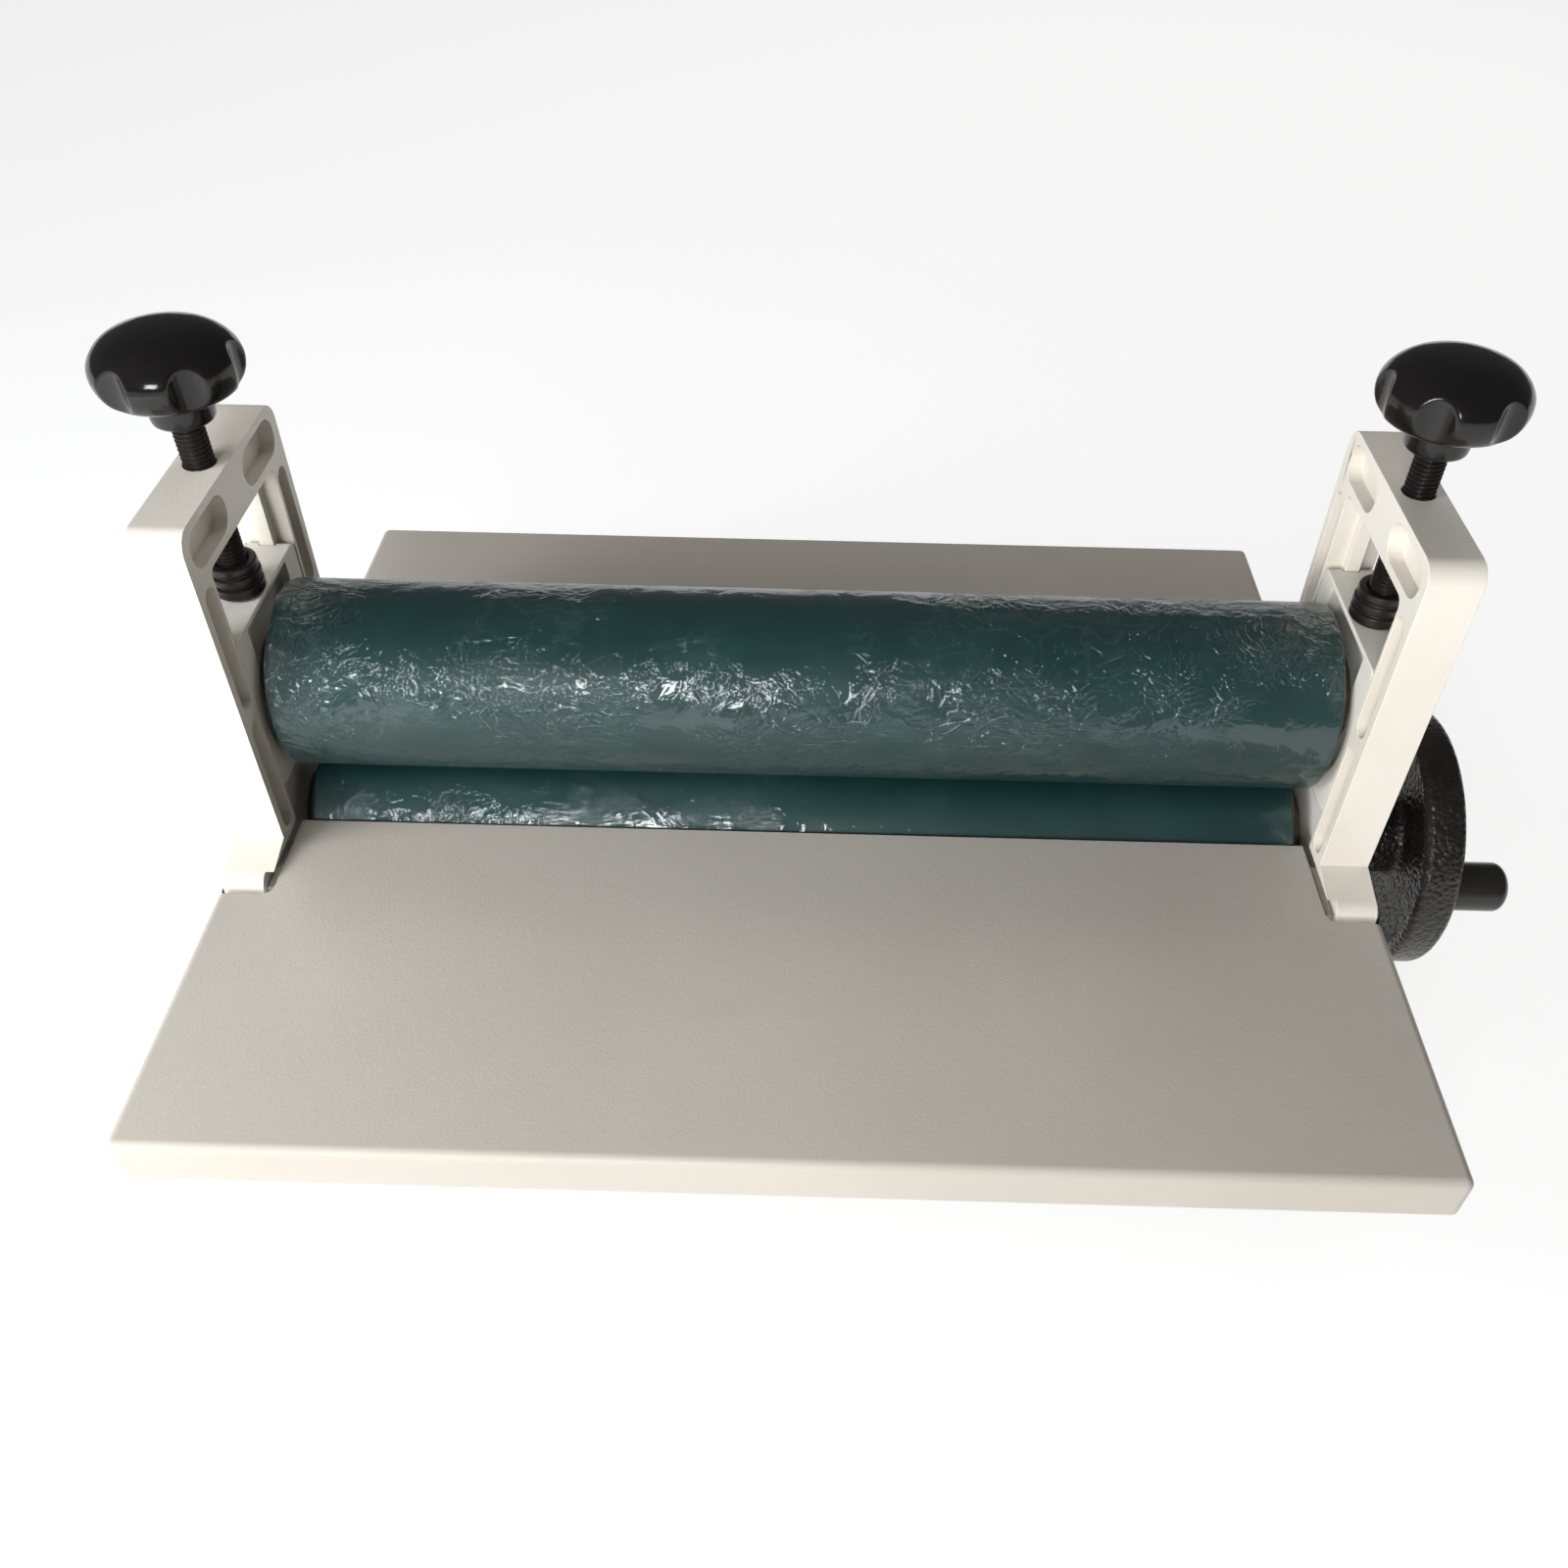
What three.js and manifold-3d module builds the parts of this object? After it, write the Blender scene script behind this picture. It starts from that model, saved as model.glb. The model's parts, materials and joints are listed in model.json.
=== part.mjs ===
// Cold roll laminator, table-top, hand driven.
// Two cast side frames carry a pair of rubber rollers. The lower roller turns in fixed bearing
// blocks and carries the handwheel. The upper roller turns in blocks that slide in the frames and
// are pressed down by two knob screws. A sheet-metal deck lies in front of the rollers and another
// behind them, both on cross channels that tie the frames together.
//
// Millimetres. X runs along the rollers towards the handwheel, Y from the infeed to the outfeed
// deck, Z up from the table. While it is built, X = 0 is midway between the frames.

import * as THREE from "three";
import { mergeVertices } from "three/addons/utils/BufferGeometryUtils.js";
import Module from "manifold-3d";

const wasm = await Module();
wasm.setup();

// ---------------------------------------------------------------- driving dimensions
const seatGap = 0.3; // between two pieces that touch
const slideGap = 0.4; // between a sliding block and its window
const overcut = 1; // how far a cutter runs past the face it opens

// rollers
const rollerLength = 356;
const rollerDiameter = 66;
const rubberWall = 8;
const tubeWall = 4;
const journalDiameter = 20;
const shoulderDiameter = 30;
const stubPlugLength = 30;
const rollerEndGap = 3.6; // rubber end to side frame
const nipGap = 0.3; // between the two rubbers when closed
const nipHeight = 13; // nip above the deck

// decks
const deckHeight = 80; // top of the decks above the table
const deckOverhang = 0.9; // deck's side beyond the frame's outer face
const deckReach = 166; // outer edge from the roller plane
const deckRollerGap = 0.92; // inner edge from the lower roller
const deckFlange = 16.3;
const deckSheet = 2;
const deckBendRadius = 3;
const deckNotchSideGap = 1.7; // notch edge from the frame's inner face
const deckNotchEndGap = 2.9; // notch edge from the frame's leg
const notchCornerRadius = 4;

// side frames
const frameThickness = 17;
const frameWidth = 87;
const liftMargin = 4.2; // between the raised collar and the crossbar
const frameCornerRadius = 7;
const crossbarHeight = 19;
const columnWidth = 12.5;
const legWidth = 124.6;
const ledgeDepth = 3; // how far the leg stands back from the frame's inner face
const ledgeLift = 2.5; // underside of the frame's inner ledge above the decks
const toeRise = 5.5; // root of the toe's slope above the decks
const toeSlopeDrop = 3;
const toeRadius = 5;
const windowCornerRadius = 3;
const windowFloor = 29.7; // above the table
const guideRibWidth = 5;
const guideRibDepth = 3.5;
const pocketDepth = 5;
const pocketWidth = 7.5; // upright pockets in the columns
const pocketRib = 6; // rib between the upper and the lower pocket
const pocketBase = 6; // foot of the lower pocket above the decks
const crossPocketHeight = 13;
const crossPocketInset = 9; // from the middle of the crossbar
const crossPocketEnd = 4.5; // from the frame's edge
const archHeight = 6;
const archHalfWidth = 34;

// bearing blocks and bushes
const upperBlockRise = 34; // above the upper roller axis
const upperBlockDrop = 28;
const blockSplit = 1.3; // between the upper and the lower block
const recessRadius = 27.5;
const recessDepth = 4;
const recessNotchHalfWidth = 20;
const recessNotchTop = 2; // below the block's top
const bushDiameter = 28;
const bushFlangeDiameter = 34;
const bushFlangeThickness = 1.8;
const bushEndInset = 0.3;

// pressure screws, collars and knobs
const screwDiameter = 10;
const collarDiameter = 17;
const collarHeight = 12;
const collarFloor = 3;
const carriageLift = 12; // travel of the sliding blocks
const knobLift = 15; // knob hub above the frame
const knobHubDiameter = 19.6;
const knobHubHeight = 9.5;
const knobHeight = 29.8;
const knobDiameter = 44.8;
const knobLobes = 6;
const knobFluteDepth = 3.1;
const knobFluteRadius = 8.4; // of the round groove between two lobes
const knobBoreDepth = 14;
const knobTurn = { left: 36, right: 29 }; // degrees, where one lobe points

// handwheel
const wheelDiameter = 98;
const wheelWidth = 14;
const wheelRim = 5.5;
const wheelWeb = 5;
const wheelWebInset = 3; // web behind the rim's outer face
const wheelStandoff = 20.8; // rim from the side frame
const hubDiameter = 30;
const spacerLength = 4.2;
const setScrewDiameter = 6;

// crank grip
const gripDiameter = 17.7;
const gripLength = 19.2;
const gripThrow = 36; // from the wheel's axis
const gripAngle = 167; // degrees, from +Y towards +Z
const gripBoltDiameter = 8;
const gripThreadDiameter = 6;
const gripHeadDiameter = 11.4;
const gripHeadDepth = 4;
const gripBossDiameter = 20;

// cross channels
const channelWidth = 23;
const channelHeight = 22;
const channelSheet = 2.5;
const channelEnd = 8;
const channelInset = 37; // inner face from the roller plane
const channelBoltDiameter = 5;
const channelBoltSpacing = 11;
const channelBoltHead = 8.5;
const channelBoltHeadHeight = 5;

// deck screws
const deckScrewSpacing = 240;
const deckScrewDiameter = 4;
const deckBossDiameter = 9;
const deckScrewHead = 12;
const deckScrewHeadHeight = 3;

// feet
const footHeight = 8;
const footDiameter = 20;
const footSpacing = 100;
const footBossDiameter = 22;
const footBossHeight = 12;
const footScrewDiameter = 4;
const footScrewHead = 7.2;
const footScrewHeadHeight = 2.4;

// facets
const arcSegments = 2; // each arc of an outline becomes twice as many sides
const roundSegments = 36;
const smallSegments = 16;
const boltSegments = 10;
const lobeSegments = 8; // round one lobe of a knob

// ---------------------------------------------------------------- levels and stations
const rollerRadius = rollerDiameter / 2;
const rubberRadius = rollerRadius - nipGap / 2;
const nipLevel = deckHeight + nipHeight;
const lowerAxis = nipLevel - rollerRadius;
const upperAxis = nipLevel + rollerRadius;
const upperBlockTop = upperAxis + upperBlockRise;
const collarBottom = upperBlockTop + seatGap;
const windowTop = collarBottom + collarHeight + carriageLift + liftMargin;
const frameTop = windowTop + crossbarHeight;
const frameInner = rollerLength / 2 + rollerEndGap; // inner face from the middle
const deckUnderRoller = deckHeight - deckSheet - lowerAxis; // sheet above the lower roller's axis
const deckInnerEdge = Math.sqrt(rubberRadius ** 2 - deckUnderRoller ** 2) + deckRollerGap;
const frameOuter = frameInner + frameThickness;
const frameMiddle = (frameInner + frameOuter) / 2;
const legInner = frameInner + ledgeDepth;
const legThickness = frameThickness - ledgeDepth;
const deckHalfWidth = frameOuter + deckOverhang;
const windowHalfWidth = frameWidth / 2 - columnWidth;
const upperBlockBottom = upperAxis - upperBlockDrop;
const lowerBlockTop = upperBlockBottom - blockSplit;
const lowerBlockBottom = windowFloor + seatGap;
const blockInner = frameInner + seatGap;
const blockOuter = frameOuter - seatGap;
const recessFloor = blockInner + recessDepth;
const bushInner = recessFloor - seatGap - bushFlangeThickness;
const bushOuter = blockOuter - bushEndInset;
const shoulderEnd = bushInner - seatGap;
const wheelInner = frameOuter + wheelStandoff;
const wheelOuter = wheelInner + wheelWidth;
const webOuter = wheelOuter - wheelWebInset;
const webInner = webOuter - wheelWeb;
const spacerInner = frameOuter + seatGap;
const hubInner = spacerInner + spacerLength + seatGap;
const setScrewStation = (hubInner + wheelInner) / 2;
const gripY = gripThrow * Math.cos(THREE.MathUtils.degToRad(gripAngle));
const gripZ = lowerAxis + gripThrow * Math.sin(THREE.MathUtils.degToRad(gripAngle));
const gripInner = wheelOuter + 2 * seatGap;
const gripOuter = gripInner + gripLength;
const screwBottom = collarBottom + collarFloor;
const knobBottom = frameTop + knobLift;
const channelTop = deckHeight - deckSheet - seatGap;
const channelMiddle = channelInset + channelWidth / 2;
const deckHoleTop = deckHeight - deckSheet / 2;
const deckScrewSeat = channelTop - channelSheet - seatGap;

// ---------------------------------------------------------------- materials
function paint(color, roughness, metalness) {
  return new THREE.MeshStandardMaterial({ color, roughness, metalness });
}
const castPaint = paint(0xe9e3d8, 0.42, 0.1);
const blockPaint = paint(0xd4d0c6, 0.5, 0.1);
const deckPaint = paint(0xb7b3ac, 0.62, 0.15);
const rubber = paint(0x1d4648, 0.38, 0);
const footRubber = paint(0x1b1b1b, 0.85, 0);
const steel = paint(0x9a9a98, 0.35, 0.95);
const bronze = paint(0xa8803c, 0.4, 0.9);
const blackOxide = paint(0x26231f, 0.42, 0.8);
const bakelite = paint(0x120f0e, 0.12, 0);
const hammered = paint(0x1d1a18, 0.4, 0.3);
const zinc = paint(0xb8b9b6, 0.35, 0.9);

// ---------------------------------------------------------------- solids
function toSolid(geometry) {
  const bare = geometry.clone();
  bare.deleteAttribute("normal");
  bare.deleteAttribute("uv");
  const merged = mergeVertices(bare, 1e-4);
  return new wasm.Manifold(
    new wasm.Mesh({
      numProp: 3,
      vertProperties: merged.attributes.position.array,
      triVerts: new Uint32Array(merged.index.array),
    }),
  );
}

function toGeometry(solid) {
  const mesh = solid.getMesh();
  const geometry = new THREE.BufferGeometry();
  geometry.setAttribute("position", new THREE.BufferAttribute(mesh.vertProperties, 3));
  geometry.setIndex(new THREE.BufferAttribute(mesh.triVerts, 1));
  const faceted = geometry.toNonIndexed();
  faceted.computeVertexNormals();
  return faceted;
}

// A box given by its span along X, Y and Z.
function boxSolid(x, y, z) {
  const spans = [x, y, z].map(([a, b]) => [Math.min(a, b), Math.max(a, b)]);
  const geometry = new THREE.BoxGeometry(...spans.map(([low, high]) => high - low));
  geometry.translate(...spans.map(([low, high]) => (low + high) / 2));
  return toSolid(geometry);
}

// A cylinder along X between two stations, about the line through (y, z).
function rodX(radius, from, to, y, z, segments = smallSegments) {
  const geometry = new THREE.CylinderGeometry(radius, radius, Math.abs(to - from), segments);
  geometry.rotateZ(-Math.PI / 2);
  geometry.translate((from + to) / 2, y, z);
  return toSolid(geometry);
}

// A cylinder along Z between two levels, about the line through (x, y).
function rodZ(radius, from, to, x, y, segments = smallSegments) {
  const geometry = new THREE.CylinderGeometry(radius, radius, Math.abs(to - from), segments);
  geometry.rotateX(Math.PI / 2);
  geometry.translate(x, y, (from + to) / 2);
  return toSolid(geometry);
}

// A profile of [radius, station] pairs, listed with the solid on their left, turned about Z.
function turnedZ(profile, segments = smallSegments) {
  const points = profile.map(([radius, station]) => new THREE.Vector2(radius, station));
  return new THREE.LatheGeometry(points, segments).rotateX(Math.PI / 2);
}

// The same about X, with stations measured along X.
function turnedX(profile, segments = smallSegments) {
  return turnedZ(profile, segments).rotateY(Math.PI / 2);
}

// A plain tube's closed profile.
function tubeProfile(inner, outer, from, to) {
  return [
    [inner, from],
    [outer, from],
    [outer, to],
    [inner, to],
    [inner, from],
  ];
}

// A Y-Z outline carried along X between two distances from the middle, on one side (+1 or -1).
const outlineToYZ = new THREE.Matrix4().makeBasis(
  new THREE.Vector3(0, 1, 0),
  new THREE.Vector3(0, 0, 1),
  new THREE.Vector3(1, 0, 0),
);
function slab(outline, side, near, far) {
  const geometry = new THREE.ExtrudeGeometry(outline, {
    depth: far - near,
    bevelEnabled: false,
    curveSegments: arcSegments,
  });
  geometry.applyMatrix4(outlineToYZ);
  geometry.translate(side > 0 ? near : -far, 0, 0);
  return toSolid(geometry);
}

// A rectangle between two corners, with all its corners rounded.
function roundedRectangle(x0, y0, x1, y1, radius) {
  const outline = new THREE.Shape();
  outline.moveTo(x0 + radius, y0);
  outline.lineTo(x1 - radius, y0);
  outline.absarc(x1 - radius, y0 + radius, radius, -Math.PI / 2, 0);
  outline.lineTo(x1, y1 - radius);
  outline.absarc(x1 - radius, y1 - radius, radius, 0, Math.PI / 2);
  outline.lineTo(x0 + radius, y1);
  outline.absarc(x0 + radius, y1 - radius, radius, Math.PI / 2, Math.PI);
  outline.lineTo(x0, y0 + radius);
  outline.absarc(x0 + radius, y0 + radius, radius, Math.PI, 1.5 * Math.PI);
  return outline;
}

// ---------------------------------------------------------------- the scene graph
const laminator = new THREE.Group();
laminator.name = "cold_roll_laminator";

function addPiece(name, shape, material, position = [0, 0, 0]) {
  const geometry = shape.isBufferGeometry ? shape : toGeometry(shape);
  const mesh = new THREE.Mesh(geometry, material);
  mesh.name = name;
  mesh.position.set(...position);
  laminator.add(mesh);
  return mesh;
}

// ---------------------------------------------------------------- side frames
// Seen from the side: a broad leg, a sloping rounded toe at deck level, then the tall narrow part.
function frameOutline() {
  const half = frameWidth / 2;
  const leg = legWidth / 2;
  const toeTop = deckHeight + toeRise - toeSlopeDrop;
  const r = frameCornerRadius;
  const outline = new THREE.Shape();
  outline.moveTo(-leg, footHeight);
  outline.lineTo(leg, footHeight);
  outline.lineTo(leg, toeTop - toeRadius);
  outline.absarc(leg - toeRadius, toeTop - toeRadius, toeRadius, 0, Math.PI / 2);
  outline.lineTo(half, deckHeight + toeRise);
  outline.lineTo(half, frameTop - r);
  outline.absarc(half - r, frameTop - r, r, 0, Math.PI / 2);
  outline.lineTo(-half + r, frameTop);
  outline.absarc(-half + r, frameTop - r, r, Math.PI / 2, Math.PI);
  outline.lineTo(-half, deckHeight + toeRise);
  outline.lineTo(-leg + toeRadius, toeTop);
  outline.absarc(-leg + toeRadius, toeTop - toeRadius, toeRadius, Math.PI / 2, Math.PI);
  outline.lineTo(-leg, footHeight);
  return outline;
}

// The stadium pockets cast into the inner face: two along the crossbar, two down each column.
function framePocketOutlines() {
  const columnMiddle = frameWidth / 2 - columnWidth / 2 - 1;
  const crossMiddle = frameTop - crossbarHeight / 2;
  const low = deckHeight + pocketBase;
  const high = windowTop - pocketBase / 2;
  const middle = (low + high) / 2;
  const spans = [
    [low, middle - pocketRib / 2],
    [middle + pocketRib / 2, high],
  ];
  const outlines = [];
  for (const end of [-1, 1]) {
    const y = end * columnMiddle;
    for (const [bottom, top] of spans) {
      const half = pocketWidth / 2;
      outlines.push(roundedRectangle(y - half, bottom, y + half, top, half * 0.98));
    }
    const cross = [end * crossPocketInset, end * (frameWidth / 2 - crossPocketEnd)].sort((a, b) => a - b);
    const half = crossPocketHeight / 2;
    outlines.push(
      roundedRectangle(cross[0], crossMiddle - half, cross[1], crossMiddle + half, half * 0.98),
    );
  }
  return outlines;
}

function channelBoltSpots() {
  const z = channelTop - channelHeight / 2;
  return [-1, 1].flatMap((end) =>
    [-1, 1].map((row) => [end * channelMiddle + (row * channelBoltSpacing) / 2, z]),
  );
}

function sideFrame(side) {
  let frame = slab(frameOutline(), side, frameInner, frameOuter);
  for (const end of [-1, 1]) {
    frame = frame.add(
      rodZ(
        footBossDiameter / 2,
        footHeight,
        footHeight + footBossHeight,
        side * frameMiddle,
        (end * footSpacing) / 2,
      ),
    );
  }
  // below its ledge the leg is thinner than the upper part
  const bossSpan = footHeight + footBossHeight;
  frame = frame.subtract(
    boxSolid(
      [side * (frameInner - overcut), side * legInner],
      [-legWidth, legWidth],
      [bossSpan, deckHeight + ledgeLift],
    ),
  );
  const window = roundedRectangle(
    -windowHalfWidth,
    windowFloor,
    windowHalfWidth,
    windowTop,
    windowCornerRadius,
  );
  frame = frame.subtract(slab(window, side, frameInner - overcut, frameOuter + overcut));
  for (const end of [-1, 1]) {
    frame = frame.add(
      boxSolid(
        [side * (frameMiddle - guideRibWidth / 2), side * (frameMiddle + guideRibWidth / 2)],
        [end * (windowHalfWidth - guideRibDepth), end * (windowHalfWidth + overcut)],
        [windowFloor - overcut, windowTop + overcut],
      ),
    );
  }
  for (const pocket of framePocketOutlines()) {
    frame = frame.subtract(slab(pocket, side, frameInner - overcut, frameInner + pocketDepth));
  }
  const arch = roundedRectangle(
    -archHalfWidth,
    footHeight - archHeight,
    archHalfWidth,
    footHeight + archHeight,
    archHeight * 0.9,
  );
  frame = frame.subtract(slab(arch, side, frameInner - frameThickness, frameOuter + frameThickness));
  frame = frame.subtract(
    rodZ(
      screwDiameter / 2 + seatGap,
      windowTop - overcut,
      frameTop + overcut,
      side * frameMiddle,
      0,
    ),
  );
  for (const [y, z] of channelBoltSpots()) {
    frame = frame.subtract(
      rodX(
        channelBoltDiameter / 2 + seatGap,
        side * (frameInner - overcut),
        side * (frameOuter + overcut),
        y,
        z,
        boltSegments,
      ),
    );
  }
  for (const end of [-1, 1]) {
    frame = frame.subtract(
      rodZ(
        footScrewDiameter / 2 + seatGap,
        footHeight - overcut,
        footHeight + footBossHeight - 2 * overcut,
        side * frameMiddle,
        (end * footSpacing) / 2,
        boltSegments,
      ),
    );
  }
  return frame;
}

// ---------------------------------------------------------------- decks
// A shallow tray: top sheet, down-turned outer and side flanges, notched round the two frames.
function deck(end) {
  const half = deckHalfWidth;
  const r = deckBendRadius;
  const bottom = deckHeight - deckFlange;
  const across = new THREE.Shape();
  across.moveTo(-half, bottom);
  across.lineTo(half, bottom);
  across.lineTo(half, deckHeight - r);
  across.absarc(half - r, deckHeight - r, r, 0, Math.PI / 2);
  across.lineTo(-half + r, deckHeight);
  across.absarc(-half + r, deckHeight - r, r, Math.PI / 2, Math.PI);
  across.lineTo(-half, bottom);
  const acrossGeometry = new THREE.ExtrudeGeometry(across, {
    depth: deckReach - deckInnerEdge,
    bevelEnabled: false,
    curveSegments: arcSegments,
  });
  acrossGeometry.rotateX(Math.PI / 2);
  acrossGeometry.translate(0, end > 0 ? deckReach : -deckInnerEdge, 0);

  const along = new THREE.Shape();
  along.moveTo(deckInnerEdge, bottom);
  along.lineTo(deckReach, bottom);
  along.lineTo(deckReach, deckHeight - r);
  along.absarc(deckReach - r, deckHeight - r, r, 0, Math.PI / 2);
  along.lineTo(deckInnerEdge, deckHeight);
  along.lineTo(deckInnerEdge, bottom);
  const alongGeometry = new THREE.ExtrudeGeometry(along, {
    depth: 2 * half,
    bevelEnabled: false,
    curveSegments: arcSegments,
  });
  alongGeometry.applyMatrix4(outlineToYZ);
  alongGeometry.translate(-half, 0, 0);
  if (end < 0) alongGeometry.rotateZ(Math.PI);

  let tray = toSolid(acrossGeometry).intersect(toSolid(alongGeometry));
  tray = tray.subtract(
    boxSolid(
      [-half + deckSheet, half - deckSheet],
      [end * (deckInnerEdge - overcut), end * (deckReach - deckSheet)],
      [bottom - overcut, deckHeight - deckSheet],
    ),
  );
  const notchX = frameInner + deckNotchSideGap;
  const notchY = legWidth / 2 + deckNotchEndGap;
  for (const side of [-1, 1]) {
    const x = [side * notchX, side * (half + notchCornerRadius * 2)].sort((a, b) => a - b);
    const y = [end * notchY, -end * notchCornerRadius * 2].sort((a, b) => a - b);
    const notch = new THREE.ExtrudeGeometry(
      roundedRectangle(x[0], y[0], x[1], y[1], notchCornerRadius),
      { depth: deckFlange + 2 * overcut, bevelEnabled: false, curveSegments: arcSegments },
    );
    notch.translate(0, 0, bottom - overcut);
    tray = tray.subtract(toSolid(notch));
  }
  for (const side of [-1, 1]) {
    const x = (side * deckScrewSpacing) / 2;
    const y = end * channelMiddle;
    const bossBottom = deckHeight - deckSheet - channelSheet;
    const hole = deckScrewDiameter / 2 + seatGap;
    tray = tray
      .add(rodZ(deckBossDiameter / 2, bossBottom, deckHoleTop, x, y))
      .subtract(rodZ(hole, bossBottom - overcut, deckHoleTop, x, y, boltSegments));
  }
  return tray;
}

// A folded channel under each deck, open below, with thick tapped ends bolted to the legs.
function crossChannel(end) {
  const halfLength = legInner - seatGap;
  const y = [end * channelInset, end * (channelInset + channelWidth)].sort((a, b) => a - b);
  const bottom = channelTop - channelHeight;
  let channel = boxSolid([-halfLength, halfLength], y, [bottom, channelTop]);
  channel = channel.subtract(
    boxSolid(
      [-halfLength + channelEnd, halfLength - channelEnd],
      [y[0] + channelSheet, y[1] - channelSheet],
      [bottom - overcut, channelTop - channelSheet],
    ),
  );
  for (const side of [-1, 1]) {
    channel = channel.subtract(
      rodZ(
        deckBossDiameter / 2 + seatGap,
        channelTop - channelSheet - overcut,
        channelTop + overcut,
        (side * deckScrewSpacing) / 2,
        end * channelMiddle,
      ),
    );
    for (const [boltY, boltZ] of channelBoltSpots().filter(([spot]) => spot * end > 0)) {
      channel = channel.subtract(
        rodX(
          channelBoltDiameter / 2 + seatGap,
          side * (halfLength - channelEnd - overcut),
          side * (halfLength + overcut),
          boltY,
          boltZ,
          boltSegments,
        ),
      );
    }
  }
  return channel;
}

// A socket-head screw: head above z = 0, shank below it, a hexagon socket in the head.
function socketScrew(diameter, length, headDiameter, headHeight) {
  const chamfer = headHeight * 0.12;
  const profile = [
    [0, -length],
    [diameter / 2, -length],
    [diameter / 2, 0],
    [headDiameter / 2, 0],
    [headDiameter / 2, headHeight - chamfer],
    [headDiameter / 2 - chamfer, headHeight],
    [0, headHeight],
  ];
  const socket = rodZ(headDiameter * 0.28, headHeight * 0.4, headHeight + overcut, 0, 0, 6);
  return toSolid(turnedZ(profile, boltSegments)).subtract(socket);
}

// ---------------------------------------------------------------- bearing blocks
// A block that fills the window across, grooved for the guide ribs and bored for its bush.
function bearingBlock(side, axis, inner, bottom, top) {
  const halfWidth = windowHalfWidth - slideGap;
  const outline = roundedRectangle(-halfWidth, bottom, halfWidth, top, windowCornerRadius);
  let block = slab(outline, side, inner, blockOuter);
  for (const end of [-1, 1]) {
    block = block.subtract(
      boxSolid(
        [
          side * (frameMiddle - guideRibWidth / 2 - slideGap),
          side * (frameMiddle + guideRibWidth / 2 + slideGap),
        ],
        [end * (windowHalfWidth - guideRibDepth - slideGap), end * (windowHalfWidth + overcut)],
        [bottom - overcut, top + overcut],
      ),
    );
  }
  const boreFrom = side * (inner - overcut);
  const boreTo = side * (blockOuter + overcut);
  return block.subtract(rodX(bushDiameter / 2 + seatGap, boreFrom, boreTo, 0, axis));
}

// The sliding block is recessed round the roller's end, with a flat-topped notch above the shaft.
function slidingBlock(side) {
  const recessFrom = side * (blockInner - overcut);
  const recessTo = side * recessFloor;
  return bearingBlock(side, upperAxis, blockInner, upperBlockBottom, upperBlockTop)
    .subtract(rodX(recessRadius, recessFrom, recessTo, 0, upperAxis, roundSegments))
    .subtract(
      boxSolid(
        [recessFrom, recessTo],
        [-recessNotchHalfWidth, recessNotchHalfWidth],
        [upperAxis, upperBlockTop - recessNotchTop],
      ),
    );
}

// The fixed block stands back from the frame's face, so it clears the deck's corner.
function fixedBlock(side) {
  return bearingBlock(side, lowerAxis, recessFloor, lowerBlockBottom, lowerBlockTop);
}

// A flanged plain bush about X, its flange at x = 0 and its barrel running towards +X.
function flangedBush() {
  const bore = journalDiameter / 2 + seatGap;
  const length = bushOuter - bushInner;
  return turnedX([
    [bore, 0],
    [bushFlangeDiameter / 2, 0],
    [bushFlangeDiameter / 2, bushFlangeThickness],
    [bushDiameter / 2, bushFlangeThickness],
    [bushDiameter / 2, length],
    [bore, length],
    [bore, 0],
  ]);
}

// ---------------------------------------------------------------- rollers
// Rubber covering, with eased ends, about X and centred on x = 0.
function rubberSleeve() {
  const half = rollerLength / 2;
  const ease = 1.2;
  return turnedX(
    [
      [rollerRadius - rubberWall, -half],
      [rubberRadius - ease, -half],
      [rubberRadius, -half + ease],
      [rubberRadius, half - ease],
      [rubberRadius - ease, half],
      [rollerRadius - rubberWall, half],
      [rollerRadius - rubberWall, -half],
    ],
    roundSegments,
  );
}

function coreTube() {
  const outer = rollerRadius - rubberWall - seatGap;
  const half = rollerLength / 2;
  return turnedX(tubeProfile(outer - tubeWall, outer, -half, half), roundSegments);
}

// A stub shaft: plug inside the tube, shoulder against the bush, journal out to a chosen station.
// It is turned about X with x = 0 at the middle of the machine.
function stubShaft(journalEnd) {
  const plug = rollerRadius - rubberWall - tubeWall - 2 * seatGap;
  const tubeEnd = rollerLength / 2;
  const chamfer = 1;
  return turnedX([
    [0, tubeEnd - stubPlugLength],
    [plug, tubeEnd - stubPlugLength],
    [plug, tubeEnd],
    [shoulderDiameter / 2, tubeEnd],
    [shoulderDiameter / 2, shoulderEnd],
    [journalDiameter / 2, shoulderEnd],
    [journalDiameter / 2, journalEnd - chamfer],
    [journalDiameter / 2 - chamfer, journalEnd],
    [0, journalEnd],
  ]);
}

// ---------------------------------------------------------------- pressure screws and knobs
function pressureScrew() {
  const radius = screwDiameter / 2;
  const length = knobBottom + knobBoreDepth - seatGap - screwBottom;
  const chamfer = 1;
  return turnedZ([
    [0, 0],
    [radius - chamfer, 0],
    [radius, chamfer],
    [radius, length - chamfer],
    [radius - chamfer, length],
    [0, length],
  ]);
}

// The cap that holds the screw's end on the block, with two turned grooves.
function pressureCollar() {
  const outer = collarDiameter / 2;
  const bore = screwDiameter / 2 + seatGap;
  const groove = 0.7;
  const floor = collarFloor - seatGap;
  const band = collarHeight / 6;
  return turnedZ([
    [0, 0],
    [outer - groove, 0],
    [outer, groove],
    [outer, 2 * band],
    [outer - groove, 2.2 * band],
    [outer - groove, 2.6 * band],
    [outer, 2.8 * band],
    [outer, 4 * band],
    [outer - groove, 4.2 * band],
    [outer - groove, 4.6 * band],
    [outer - 2 * groove, collarHeight],
    [bore, collarHeight],
    [bore, floor],
    [0, floor],
  ]);
}

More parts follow.
